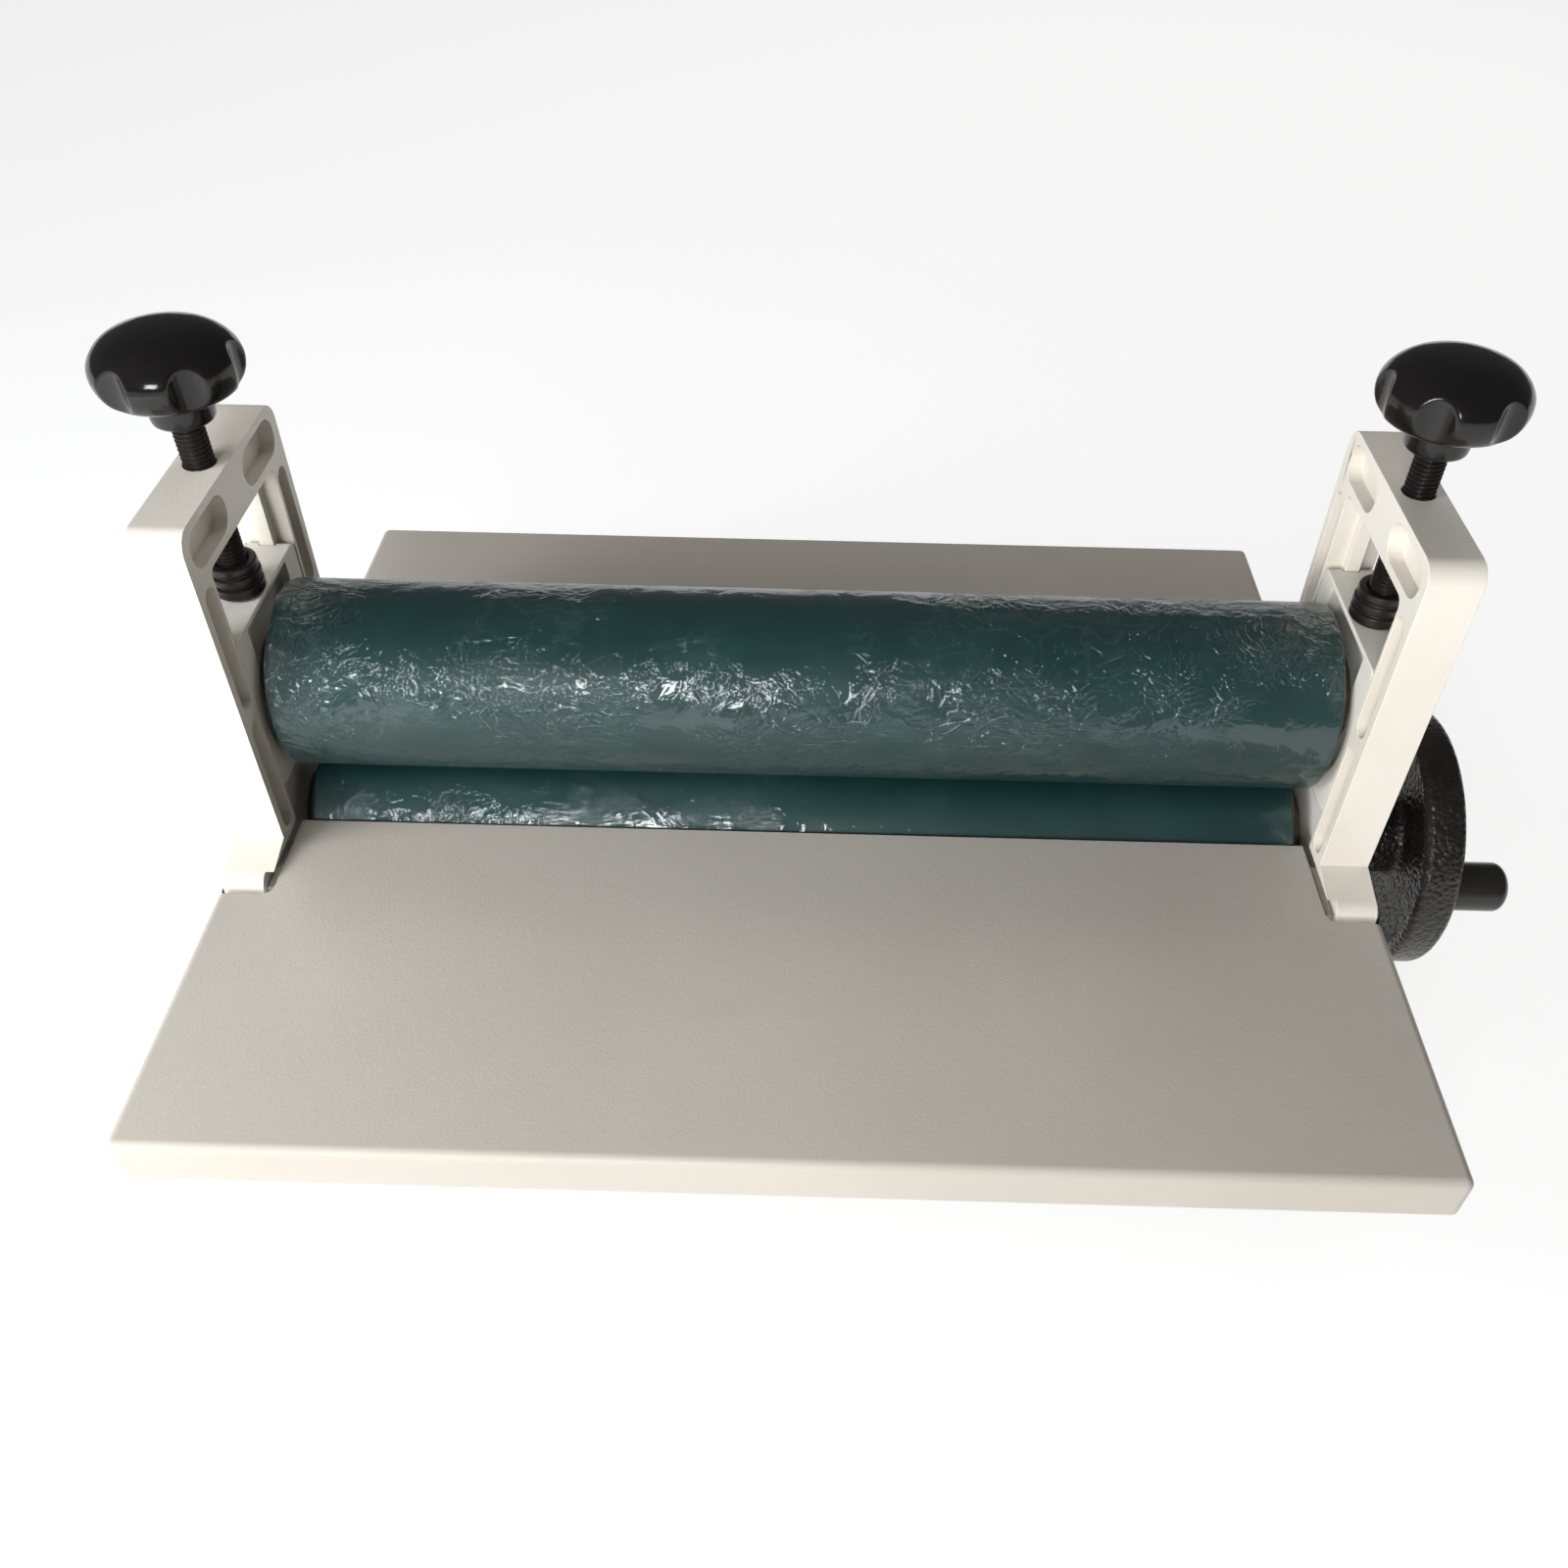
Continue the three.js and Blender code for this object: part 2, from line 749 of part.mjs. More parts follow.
// A lobed hand knob: a thick domed form with an upright round groove between each two lobes.
function lobedKnob() {
  const hub = knobHubDiameter / 2;
  const outer = knobDiameter / 2;
  const side = knobHeight - knobHubHeight;
  const base = knobHubHeight;
  const profile = [
    [0, 0],
    [hub - 1, 0],
    [hub, 1],
    [hub, base],
    [0.78 * outer, base],
    [0.9 * outer, base + 0.07 * side],
    [0.97 * outer, base + 0.22 * side],
    [outer, base + 0.4 * side],
    [0.97 * outer, base + 0.56 * side],
    [0.87 * outer, base + 0.72 * side],
    [0.7 * outer, base + 0.86 * side],
    [0.42 * outer, base + 0.96 * side],
    [0, knobHeight],
  ];
  const grooveAxis = outer - knobFluteDepth + knobFluteRadius;
  let form = toSolid(turnedZ(profile, knobLobes * lobeSegments));
  for (let lobe = 0; lobe < knobLobes; lobe++) {
    const turn = ((lobe + 0.5) * 2 * Math.PI) / knobLobes;
    const x = grooveAxis * Math.cos(turn);
    const y = grooveAxis * Math.sin(turn);
    form = form.subtract(rodZ(knobFluteRadius, 0, knobHeight, x, y, roundSegments));
  }
  const bore = rodZ(screwDiameter / 2 + seatGap, -overcut, knobBoreDepth, 0, 0);
  return form.subtract(bore);
}

// ---------------------------------------------------------------- handwheel
// A dished wheel about X, x = 0 at the machine's middle: hub, web and a rounded rim.
function handwheel() {
  const rimOuter = wheelDiameter / 2;
  const rimInner = rimOuter - wheelRim;
  const hub = hubDiameter / 2;
  const bore = journalDiameter / 2 + seatGap;
  const ease = 1.6;
  const profile = [
    [bore, hubInner],
    [hub, hubInner],
    [hub, webInner - ease],
    [hub + ease, webInner],
    [rimInner - 2 * ease, webInner],
    [rimInner, webInner - ease],
    [rimInner, wheelInner + ease / 2],
    [rimInner + ease / 2, wheelInner],
    [rimOuter - ease, wheelInner],
    [rimOuter, wheelInner + ease],
    [rimOuter, wheelOuter - ease],
    [rimOuter - ease, wheelOuter],
    [rimInner + ease / 2, wheelOuter],
    [rimInner - ease, webOuter],
    [hub + ease, webOuter],
    [hub, wheelOuter],
    [bore, wheelOuter],
    [bore, hubInner],
  ];
  let wheel = toSolid(turnedX(profile, roundSegments + 8)).translate([0, 0, lowerAxis]);
  wheel = wheel.add(rodX(gripBossDiameter / 2, webInner + overcut, wheelOuter, gripY, gripZ));
  const threadHole = gripThreadDiameter / 2 + seatGap;
  wheel = wheel.subtract(
    rodX(threadHole, webInner - overcut, wheelOuter + overcut, gripY, gripZ, boltSegments),
  );
  return wheel.subtract(
    rodZ(
      setScrewDiameter / 2 + seatGap,
      lowerAxis + journalDiameter / 4,
      lowerAxis + hub + overcut,
      setScrewStation,
      0,
      boltSegments,
    ),
  );
}
function setScrew() {
  const radius = setScrewDiameter / 2;
  const from = journalDiameter / 2 + seatGap;
  const to = hubDiameter / 2 - 2 * seatGap;
  const socket = rodZ(radius * 0.5, to - 2, to + overcut, 0, 0, 6);
  return rodZ(radius, from, to, 0, 0, boltSegments).subtract(socket);
}

// The turning grip, x = 0 at its end by the wheel, counterbored for the bolt's head.
function crankGrip() {
  const outer = gripDiameter / 2;
  const bore = gripBoltDiameter / 2 + seatGap;
  const counterbore = gripHeadDiameter / 2 + seatGap;
  const floor = gripLength - gripHeadDepth - 2 * seatGap;
  const ease = 0.8;
  return turnedX([
    [bore, 0],
    [outer - ease, 0],
    [outer, ease],
    [outer, gripLength - ease],
    [outer - ease, gripLength],
    [counterbore, gripLength],
    [counterbore, floor],
    [bore, floor],
    [bore, 0],
  ]);
}

// A shoulder bolt on the grip's axis: thread through the wheel, shoulder in the grip, round head.
function gripBolt() {
  const thread = gripThreadDiameter / 2;
  const seat = gripLength - gripHeadDepth - seatGap;
  const head = gripHeadDiameter / 2;
  const inner = webInner - gripInner;
  const slotDepth = 1.2;
  const turned = turnedX([
    [0, inner],
    [thread, inner],
    [thread, -seatGap],
    [gripBoltDiameter / 2, -seatGap],
    [gripBoltDiameter / 2, seat],
    [head, seat],
    [head, gripLength - seatGap],
    [0, gripLength - seatGap],
  ]);
  const slot = boxSolid(
    [gripLength - seatGap - slotDepth, gripLength + overcut],
    [-head - overcut, head + overcut],
    [-0.8, 0.8],
  );
  return toSolid(turned).subtract(slot);
}

// ---------------------------------------------------------------- feet
function rubberFoot() {
  const outer = footDiameter / 2;
  const bore = footScrewDiameter / 2 + seatGap;
  const counterbore = footScrewHead / 2 + 2 * seatGap;
  const top = footHeight - seatGap;
  const floor = footHeight / 2;
  return turnedZ([
    [counterbore, 0],
    [outer - 0.8, 0],
    [outer, 0.8],
    [outer - 1, top],
    [bore, top],
    [bore, floor],
    [counterbore, floor],
    [counterbore, 0],
  ]);
}

// ---------------------------------------------------------------- assembly
const sides = [
  ["left", -1],
  ["right", 1],
];
const ends = [
  ["front", -1],
  ["rear", 1],
];

for (const [sideName, side] of sides) {
  addPiece(sideName + "_side_frame", sideFrame(side), castPaint);
  addPiece(sideName + "_sliding_block", slidingBlock(side), blockPaint);
  addPiece(sideName + "_fixed_block", fixedBlock(side), blockPaint);
  for (const [level, axis] of [
    ["upper", upperAxis],
    ["lower", lowerAxis],
  ]) {
    const bush = addPiece(sideName + "_" + level + "_bush", flangedBush(), bronze, [
      side * bushInner,
      0,
      axis,
    ]);
    if (side < 0) bush.rotation.z = Math.PI;
    const driven = level === "lower" && side > 0;
    const journalEnd = driven ? wheelOuter - seatGap : bushOuter;
    const stub = addPiece(sideName + "_" + level + "_stub_shaft", stubShaft(journalEnd), steel, [
      0,
      0,
      axis,
    ]);
    if (side < 0) stub.rotation.z = Math.PI;
  }
  const column = [side * frameMiddle, 0];
  addPiece(sideName + "_pressure_collar", pressureCollar(), blackOxide, [...column, collarBottom]);
  addPiece(sideName + "_pressure_screw", pressureScrew(), blackOxide, [...column, screwBottom]);
  const knob = addPiece(sideName + "_knob", lobedKnob(), bakelite, [...column, knobBottom]);
  knob.rotation.z = THREE.MathUtils.degToRad(knobTurn[sideName]);
}

for (const [level, axis] of [
  ["upper", upperAxis],
  ["lower", lowerAxis],
]) {
  addPiece(level + "_roller_rubber", rubberSleeve(), rubber, [0, 0, axis]);
  addPiece(level + "_roller_tube", coreTube(), steel, [0, 0, axis]);
}

for (const [endName, end] of ends) {
  addPiece(endName + "_deck", deck(end), deckPaint);
  addPiece(endName + "_cross_channel", crossChannel(end), deckPaint);
  for (const [sideName, side] of sides) {
    const place = endName + "_" + sideName;
    channelBoltSpots()
      .filter(([y]) => y * end > 0)
      .forEach(([y, z], i) => {
        const bolt = addPiece(
          place + "_channel_bolt_" + (i + 1),
          socketScrew(
            channelBoltDiameter,
            legThickness + channelEnd,
            channelBoltHead,
            channelBoltHeadHeight,
          ),
          blackOxide,
          [side * (frameOuter + seatGap), y, z],
        );
        bolt.rotation.y = (side * Math.PI) / 2;
      });
    const shank = deckHoleTop - seatGap - deckScrewSeat;
    const deckScrew = addPiece(
      place + "_deck_screw",
      socketScrew(deckScrewDiameter, shank, deckScrewHead, deckScrewHeadHeight),
      zinc,
      [(side * deckScrewSpacing) / 2, end * channelMiddle, deckScrewSeat],
    );
    deckScrew.rotation.x = Math.PI;
    const footSpot = [side * frameMiddle, (end * footSpacing) / 2];
    addPiece(place + "_foot", rubberFoot(), footRubber, [...footSpot, 0]);
    const footScrew = addPiece(
      place + "_foot_screw",
      socketScrew(footScrewDiameter, footHeight, footScrewHead, footScrewHeadHeight),
      zinc,
      [...footSpot, footHeight / 2 - seatGap],
    );
    footScrew.rotation.x = Math.PI;
  }
}

addPiece("handwheel", handwheel(), hammered);
addPiece("wheel_set_screw", setScrew(), blackOxide, [setScrewStation, 0, lowerAxis]);
addPiece(
  "wheel_spacer",
  turnedX(tubeProfile(journalDiameter / 2 + seatGap, hubDiameter / 2, 0, spacerLength)),
  zinc,
  [spacerInner, 0, lowerAxis],
);
addPiece("crank_grip", crankGrip(), bakelite, [gripInner, gripY, gripZ]);
addPiece("grip_bolt", gripBolt(), blackOxide, [gripInner, gripY, gripZ]);

// the origin is under the middle of the whole machine, knobs and grip included
laminator.updateMatrixWorld(true);
const extent = new THREE.Box3().setFromObject(laminator, true);
laminator.position.x = -(extent.min.x + extent.max.x) / 2;

export default laminator;
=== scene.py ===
"""Table-top cold roll laminator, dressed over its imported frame: painted castings, folded decks,
rubber rollers in their clear wrapping film, phenolic knobs, and a hammered-enamel handwheel."""

import json
from math import radians

import bmesh
import bpy
import numpy as np
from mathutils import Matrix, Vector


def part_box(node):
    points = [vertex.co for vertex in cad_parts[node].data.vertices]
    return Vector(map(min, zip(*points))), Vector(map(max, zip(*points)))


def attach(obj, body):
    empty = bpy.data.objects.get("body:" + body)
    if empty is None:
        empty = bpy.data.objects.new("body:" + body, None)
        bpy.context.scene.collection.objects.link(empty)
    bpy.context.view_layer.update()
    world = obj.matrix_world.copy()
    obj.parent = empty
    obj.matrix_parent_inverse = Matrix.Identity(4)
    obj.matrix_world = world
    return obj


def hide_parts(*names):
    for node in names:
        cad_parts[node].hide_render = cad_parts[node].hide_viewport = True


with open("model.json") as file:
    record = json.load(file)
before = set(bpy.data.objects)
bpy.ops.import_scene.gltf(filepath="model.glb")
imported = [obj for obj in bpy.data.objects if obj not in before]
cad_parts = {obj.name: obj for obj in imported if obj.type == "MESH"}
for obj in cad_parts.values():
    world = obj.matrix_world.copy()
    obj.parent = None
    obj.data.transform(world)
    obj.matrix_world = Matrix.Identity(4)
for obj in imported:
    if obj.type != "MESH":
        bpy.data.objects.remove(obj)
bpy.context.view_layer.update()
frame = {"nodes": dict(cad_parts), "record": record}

# ---------------------------------------------------------------- sizes, in metres

MM = 0.001
SEAT_GAP = 0.3 * MM  # the fit between two pieces that touch
THREAD_PITCH = 1.5 * MM
THREAD_DEPTH = 0.75 * MM
RUBBER_EASE = 0.25 * MM  # how far the rubber stays below the film's outer skin
JOURNAL_RADIUS = 10 * MM
DECK_SHEET = 2 * MM
DECK_BEND = 3 * MM
NOTCH_CORNER = 4 * MM
CAST_EDGE = 1.1 * MM  # softness of a casting's corners
BLOCK_EDGE = 0.7 * MM
FOLD_EDGE = 0.35 * MM
FOOT_SCREW_HEAD = 4.2 * MM  # radius of the hollow below a foot
FOOT_SCREW = 2.3 * MM
KNOB_HUB = 9.8 * MM  # radii of a knob's hub and body, and where its body starts
KNOB_RADIUS = 22.4 * MM
KNOB_NECK = 9.5 * MM
KNOB_LOBES = 6
FLUTE_DEPTH = 3.1 * MM
FLUTE_RADIUS = 8.4 * MM  # of the round groove between two lobes
FLUTE_EASE = 1.0 * MM  # how softly a groove meets the dome
LOBE_TURN = {"left": radians(36), "right": radians(29)}  # where one lobe points
COLLAR_FLOOR = 2.7 * MM
RING_GROOVE = 0.9 * MM
WHEEL_HUB = 15 * MM
WHEEL_RIM = 5.5 * MM  # thickness of the rim, from its outside in
RIM_WIDTH = 14 * MM
WEB = (8 * MM, 3 * MM)  # where the web's two faces lie, in from the wheel's front
GRIP_BOSS = 10 * MM
GRIP_BORE = 4.3 * MM
GRIP_HOLLOW = (6.0 * MM, 4.6 * MM)  # radius and depth of the hollow for the bolt's head


def box_of(node):
    """Lowest and highest corner of a node at rest, as arrays."""
    low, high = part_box(node)
    return np.array(low), np.array(high)


def centre_of(node):
    low, high = box_of(node)
    return (low + high) / 2


def half_size(node):
    low, high = box_of(node)
    return (high - low) / 2


# ---------------------------------------------------------------- surfaces


def grid_faces(rows, columns, ring=False):
    """Quads between neighbouring points of a grid whose columns close round; ring closes the rows
    too."""
    index = np.arange(rows * columns).reshape(rows, columns)
    index = np.hstack([index, index[:, :1]])
    if ring:
        index = np.vstack([index, index[:1]])
    corners = (index[:-1, :-1], index[:-1, 1:], index[1:, 1:], index[1:, :-1])
    return np.stack(corners, -1).reshape(-1, 4)


def rounded(profile, radius, steps=4, ring=False):
    """The profile with each corner B eased into the parabola (1-t)^2 A + 2t(1-t) B + t^2 C, where A
    and C lie on its two sides, at radius from B or at 45 % of a shorter side. ring rounds the ends as
    well."""
    corner = np.asarray(profile, float)

    def along(neighbour):
        side = neighbour - corner
        length = np.maximum(np.linalg.norm(side, axis=1, keepdims=True), 1e-9)
        return corner + side * np.minimum(radius / length, 0.45)

    a, c = along(np.roll(corner, 1, 0)), along(np.roll(corner, -1, 0))
    t = np.linspace(0, 1, steps + 1)[None, :, None]
    curves = (1 - t) ** 2 * a[:, None] + 2 * t * (1 - t) * corner[:, None] + t**2 * c[:, None]
    if ring:
        return curves.reshape(-1, 2)
    return np.vstack([corner[:1], curves[1:-1].reshape(-1, 2), corner[-1:]])


def turned(profile, axis, centre, sides=96, ring=False):
    """A profile of (radius r, station s) turned about a line along axis through centre: at angle a the
    point is r cos a and r sin a across the axis and s along it."""
    angle = np.linspace(0, 2 * np.pi, sides, endpoint=False)
    radius, station = profile[:, 0, None], profile[:, 1, None]
    one, other, along = radius * np.cos(angle), radius * np.sin(angle), station + 0 * angle
    points = np.stack([along, one, other] if axis == "X" else [one, other, along], -1)
    return points + np.asarray(centre), grid_faces(len(profile), sides, ring)


def make_piece(name, parts, finish, body, stands_for=(), sharp=38, sheet=False):
    """One object from grids of points and their quads: doubled points at poles merge, a closed body's
    faces are turned outwards, and edges flatter than sharp degrees are shaded smooth."""
    start, points, faces = 0, [], []
    for grid, quads in parts:
        grid = grid.reshape(-1, 3)
        points.append(grid)
        faces.append(quads + start)
        start += len(grid)
    mesh = bpy.data.meshes.new(name)
    mesh.from_pydata(np.concatenate(points).tolist(), [], np.concatenate(faces).tolist())
    work = bmesh.new()
    work.from_mesh(mesh)
    bmesh.ops.remove_doubles(work, verts=work.verts, dist=2e-6)
    if not sheet:
        bmesh.ops.recalc_face_normals(work, faces=work.faces)
    work.to_mesh(mesh)
    work.free()
    return place(name, mesh, finish, body, stands_for, sharp)


def place(name, mesh, finish, body, stands_for=(), sharp=38):
    """Puts a mesh in the scene as a piece that rides on a body, in place of its plain nodes."""
    mesh.shade_smooth()
    mesh.set_sharp_from_angle(angle=radians(sharp))
    mesh.materials.append(finishes[finish])
    piece = bpy.data.objects.new(name, mesh)
    bpy.context.scene.collection.objects.link(piece)
    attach(piece, body)
    if stands_for:
        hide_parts(*stands_for)
    return piece


def ease_edges(piece, width, segments=3, angle=32, clamp=False):
    """Rounds a piece's edges and keeps its flat faces evenly shaded."""
    bevel = piece.modifiers.new("eased edges", "BEVEL")
    bevel.width = width
    bevel.segments = segments
    bevel.limit_method = "ANGLE"
    bevel.angle_limit = radians(angle)
    bevel.use_clamp_overlap = clamp
    bevel.miter_outer = "MITER_ARC"
    evened = piece.modifiers.new("even shading", "WEIGHTED_NORMAL")
    evened.keep_sharp = False
    return piece


def softened(name, node, finish, body, width, segments=3, clamp=True):
    """A node's own shape with its corners eased: its triangles are merged and its flat faces made
    whole, then each edge sharper than 32 degrees is rounded by width."""
    mesh = bpy.data.meshes.new(name)
    work = bmesh.new()
    work.from_mesh(frame["nodes"][node].data)
    bmesh.ops.remove_doubles(work, verts=work.verts, dist=5e-6)
    bmesh.ops.dissolve_limit(
        work, angle_limit=radians(0.6), verts=work.verts, edges=work.edges, delimit={"NORMAL"}
    )
    work.to_mesh(mesh)
    work.free()
    piece = place(name, mesh, finish, body, [node], 180)
    return ease_edges(piece, width, segments, 32, clamp)


# ---------------------------------------------------------------- shader helpers and groups


def put(tree, kind, inputs=None, **settings):
    """Adds a node, with its settings and with each input given as a plain value or a linked socket."""
    node = tree.nodes.new("ShaderNode" + kind)
    for setting, value in settings.items():
        setattr(node, setting, value)
    for socket, value in (inputs or {}).items():
        if isinstance(value, bpy.types.NodeSocket):
            tree.links.new(value, node.inputs[socket])
        else:
            node.inputs[socket].default_value = value
    return node


def sums(tree, operation, a, b=0.0, c=0.0):
    return put(tree, "Math", {0: a, 1: b, 2: c}, operation=operation).outputs[0]


def noise(tree, at, scale, detail=2.0, roughness=0.5, distortion=0.0):
    values = {"Vector": at, "Scale": scale, "Detail": detail}
    values |= {"Roughness": roughness, "Distortion": distortion}
    return put(tree, "TexNoise", values).outputs[0]


def spread(tree, value, low, high, to_low=0.0, to_high=1.0):
    """A value between low and high, taken smoothly to the range to_low to to_high."""
    values = {"Value": value, "From Min": low, "From Max": high, "To Min": to_low, "To Max": to_high}
    return put(tree, "MapRange", values, interpolation_type="SMOOTHSTEP").outputs[0]


def tint(tree, share, first, second, mode="MIX"):
    """Two colours mixed by share."""
    values = {0: share, 6: first, 7: second}
    return put(tree, "Mix", values, data_type="RGBA", blend_type=mode).outputs[2]


def stretched(tree, at, scale, turn=(0, 0, 0)):
    """Coordinates turned, then stretched by a different scale each way."""
    return put(tree, "Mapping", {"Vector": at, "Rotation": turn, "Scale": scale}).outputs[0]


def shader_group(name, inputs, outputs, fill):
    """A node group: fill takes its tree and given sockets, and returns what each output carries."""
    tree = bpy.data.node_groups.new(name, "ShaderNodeTree")
    for label, kind, value in inputs:
        socket = tree.interface.new_socket(
            name=label, in_out="INPUT", socket_type="NodeSocket" + kind
        )
        if value is not None:
            socket.default_value = value
    for label, kind in outputs:
        tree.interface.new_socket(name=label, in_out="OUTPUT", socket_type="NodeSocket" + kind)
    results = fill(tree, tree.nodes.new("NodeGroupInput").outputs)
    end = tree.nodes.new("NodeGroupOutput")
    for label, value in results.items():
        tree.links.new(value, end.inputs[label])
    return tree


def fill_sprayed_skin(tree, given):
    """Sprayed or moulded skin: soft pebbles the size of Grain (mm), with finer ones between them."""
    scale = sums(tree, "DIVIDE", 1000.0, given["Grain"])
    pebbles = put(
        tree,
        "TexVoronoi",
        {"Vector": given["Position"], "Scale": scale, "Smoothness": 0.7},
        feature="SMOOTH_F1",
    ).outputs["Distance"]
    fine = noise(tree, given["Position"], sums(tree, "MULTIPLY", scale, 2.1), 2, 0.6)
    broad = noise(tree, given["Position"], sums(tree, "MULTIPLY", scale, 0.22), 2, 0.5)
    height = sums(tree, "MULTIPLY_ADD", fine, 0.45, pebbles)
    height = sums(tree, "MULTIPLY_ADD", broad, 0.9, height)
    return {"Height": height, "Mask": spread(tree, fine, 0.35, 0.7)}


def fill_mottling(tree, given):
    """Uneven colour: broad cloudy patches, finer clouding in them, and a few long smudges."""
    scale = sums(tree, "DIVIDE", 1000.0, given["Patch"])
    broad = spread(tree, noise(tree, given["Position"], scale, 3, 0.55), 0.34, 0.7)
    finer = noise(tree, given["Position"], sums(tree, "MULTIPLY", scale, 7.3), 3, 0.6)
    smudge_at = stretched(tree, given["Position"], (0.35, 1.0, 0.8), (0.3, 0.2, 0.9))
    smudges = spread(tree, noise(tree, smudge_at, scale, 4, 0.65, 0.8), 0.56, 0.74)
    mask = sums(tree, "MULTIPLY", broad, sums(tree, "MULTIPLY_ADD", finer, 0.6, 0.5))
    mask = sums(tree, "MAXIMUM", mask, smudges)
    share = put(tree, "Math", {0: mask, 1: given["Amount"]}, operation="MULTIPLY", use_clamp=True)
    colour = tint(tree, share.outputs[0], given["Clean"], given["Soiled"])
    return {"Colour": colour, "Mask": mask}


def fill_specks(tree, given):
    """Stray specks: one in a few of the cells, Spacing (mm) apart, holds a dot of Size (mm)."""
    scale = sums(tree, "DIVIDE", 1000.0, given["Spacing"])
    cells = put(tree, "TexVoronoi", {"Vector": given["Position"], "Scale": scale})
    radius = sums(tree, "DIVIDE", given["Size"], given["Spacing"])
    chosen = put(tree, "SeparateColor", {0: cells.outputs["Color"]}).outputs[0]
    radius = sums(tree, "MULTIPLY", radius, sums(tree, "LESS_THAN", chosen, given["Share"]))
    dot = sums(tree, "SUBTRACT", radius, cells.outputs["Distance"])
    return {"Mask": sums(tree, "GREATER_THAN", dot, 0.0)}


def fill_hairlines(tree, given):
    """Turning marks and rubbed hairlines: noise drawn out along two directions, cut to thin lines."""
    along = stretched(tree, given["Position"], (2400, 130, 130))
    across = stretched(tree, given["Position"], (90, 1500, 1500), (0.2, 0.5, 0.4))
    marks = noise(tree, along, 1.0, 2, 0.6)
    rubs = spread(tree, noise(tree, across, 1.0, 1, 0.4), 0.66, 0.74)
    patches = spread(tree, noise(tree, given["Position"], 45.0, 2), 0.5, 0.66)
    rubs = sums(tree, "MULTIPLY", rubs, patches)
    height = sums(tree, "SUBTRACT", marks, rubs)
    share = put(tree, "Math", {0: rubs, 1: given["Amount"]}, operation="MULTIPLY", use_clamp=True)
    return {"Height": height, "Mask": share.outputs[0]}


def fill_crinkles(tree, given):
    """Slack film: broad blisters of Size (mm), bowed creases that cross them, and fine crackle that
    gathers in patches."""
    scale = sums(tree, "DIVIDE", 1000.0, given["Size"])
    sway = {"Vector": given["Position"], "Scale": 55.0, "Detail": 1.0}
    sway = put(tree, "TexNoise", sway).outputs["Color"]
    sway = put(tree, "VectorMath", {0: sway, "Scale": 0.02}, operation="SCALE").outputs[0]
    bent = put(tree, "VectorMath", {0: given["Position"], 1: sway}, operation="ADD").outputs[0]
    drawn = stretched(tree, bent, (0.75, 1.2, 1.2), (0.5, 0.1, 0.0))
    patches = spread(tree, noise(tree, given["Position"], 17.0, 2, 0.5), 0.42, 0.6, 0.12, 1.0)
    blisters = noise(tree, drawn, scale, 1.0, 0.3)
    folds = noise(tree, bent, sums(tree, "MULTIPLY", scale, 0.8), 1.0, 0.4)
    folds = sums(tree, "SUBTRACT", folds, 0.5)
    folds = spread(tree, sums(tree, "ABSOLUTE", folds), 0.0, 0.05, 1.0, 0.0)
    cells = {"Vector": drawn, "Scale": sums(tree, "MULTIPLY", scale, 1.7)}
    cells = put(tree, "TexVoronoi", cells, feature="DISTANCE_TO_EDGE")
    cells = spread(tree, cells.outputs[0], 0.0, 0.16, 1.0, 0.0)
    crackle = noise(tree, drawn, sums(tree, "MULTIPLY", scale, 4.2), 2, 0.6)
    crackle = sums(tree, "SUBTRACT", crackle, 0.5)
    crackle = spread(tree, sums(tree, "ABSOLUTE", crackle), 0.0, 0.12, 1.0, 0.0)
    sharp = sums(tree, "MULTIPLY_ADD", cells, 0.22, sums(tree, "MULTIPLY", folds, 0.24))
    sharp = sums(tree, "MULTIPLY_ADD", crackle, 0.09, sharp)
    height = sums(tree, "MULTIPLY", sharp, patches)
    swell = sums(tree, "MULTIPLY_ADD", patches, 1.5, 0.5)
    height = sums(tree, "MULTIPLY_ADD", blisters, swell, height)
    return {"Height": height, "Mask": sums(tree, "MULTIPLY", folds, patches)}


AT, COLOUR = ("Position", "Vector", None), "Color"
sprayed_skin = shader_group(
    "sprayed_skin",
    [AT, ("Grain", "Float", 1.0)],
    [("Height", "Float"), ("Mask", "Float")],
    fill_sprayed_skin,
)
mottling = shader_group(
    "mottling",
    [
        AT,
        ("Patch", "Float", 60.0),
        ("Amount", "Float", 1.0),
        ("Clean", COLOUR, None),
        ("Soiled", COLOUR, None),
    ],
    [("Colour", COLOUR), ("Mask", "Float")],
    fill_mottling,
)
stray_specks = shader_group(
    "stray_specks",
    [AT, ("Spacing", "Float", 30.0), ("Size", "Float", 0.4), ("Share", "Float", 0.2)],
    [("Mask", "Float")],
    fill_specks,
)
hairlines = shader_group(
    "hairlines",
    [AT, ("Amount", "Float", 0.5)],
    [("Height", "Float"), ("Mask", "Float")],
    fill_hairlines,
)
film_crinkles = shader_group(
    "film_crinkles",
    [AT, ("Size", "Float", 9.0)],
    [("Height", "Float"), ("Mask", "Float")],
    fill_crinkles,
)

# ---------------------------------------------------------------- materials

finishes = {}


def use(tree, group, **values):
    """Places a group in a material, with its inputs given by name."""
    node = tree.nodes.new("ShaderNodeGroup")
    node.node_tree = group
    for label, value in values.items():
        if isinstance(value, bpy.types.NodeSocket):
            tree.links.new(value, node.inputs[label])
        else:
            node.inputs[label].default_value = value
    return node.outputs


def start_material(slot):
    """A material whose tree holds a Principled shader, its output and the object's own coordinates."""
    material = bpy.data.materials.new(slot)
    material.use_nodes = True
    finishes[slot] = material
    tree = material.node_tree
    at = put(tree, "TexCoord").outputs["Object"]
    return tree, tree.nodes["Principled BSDF"].inputs, at


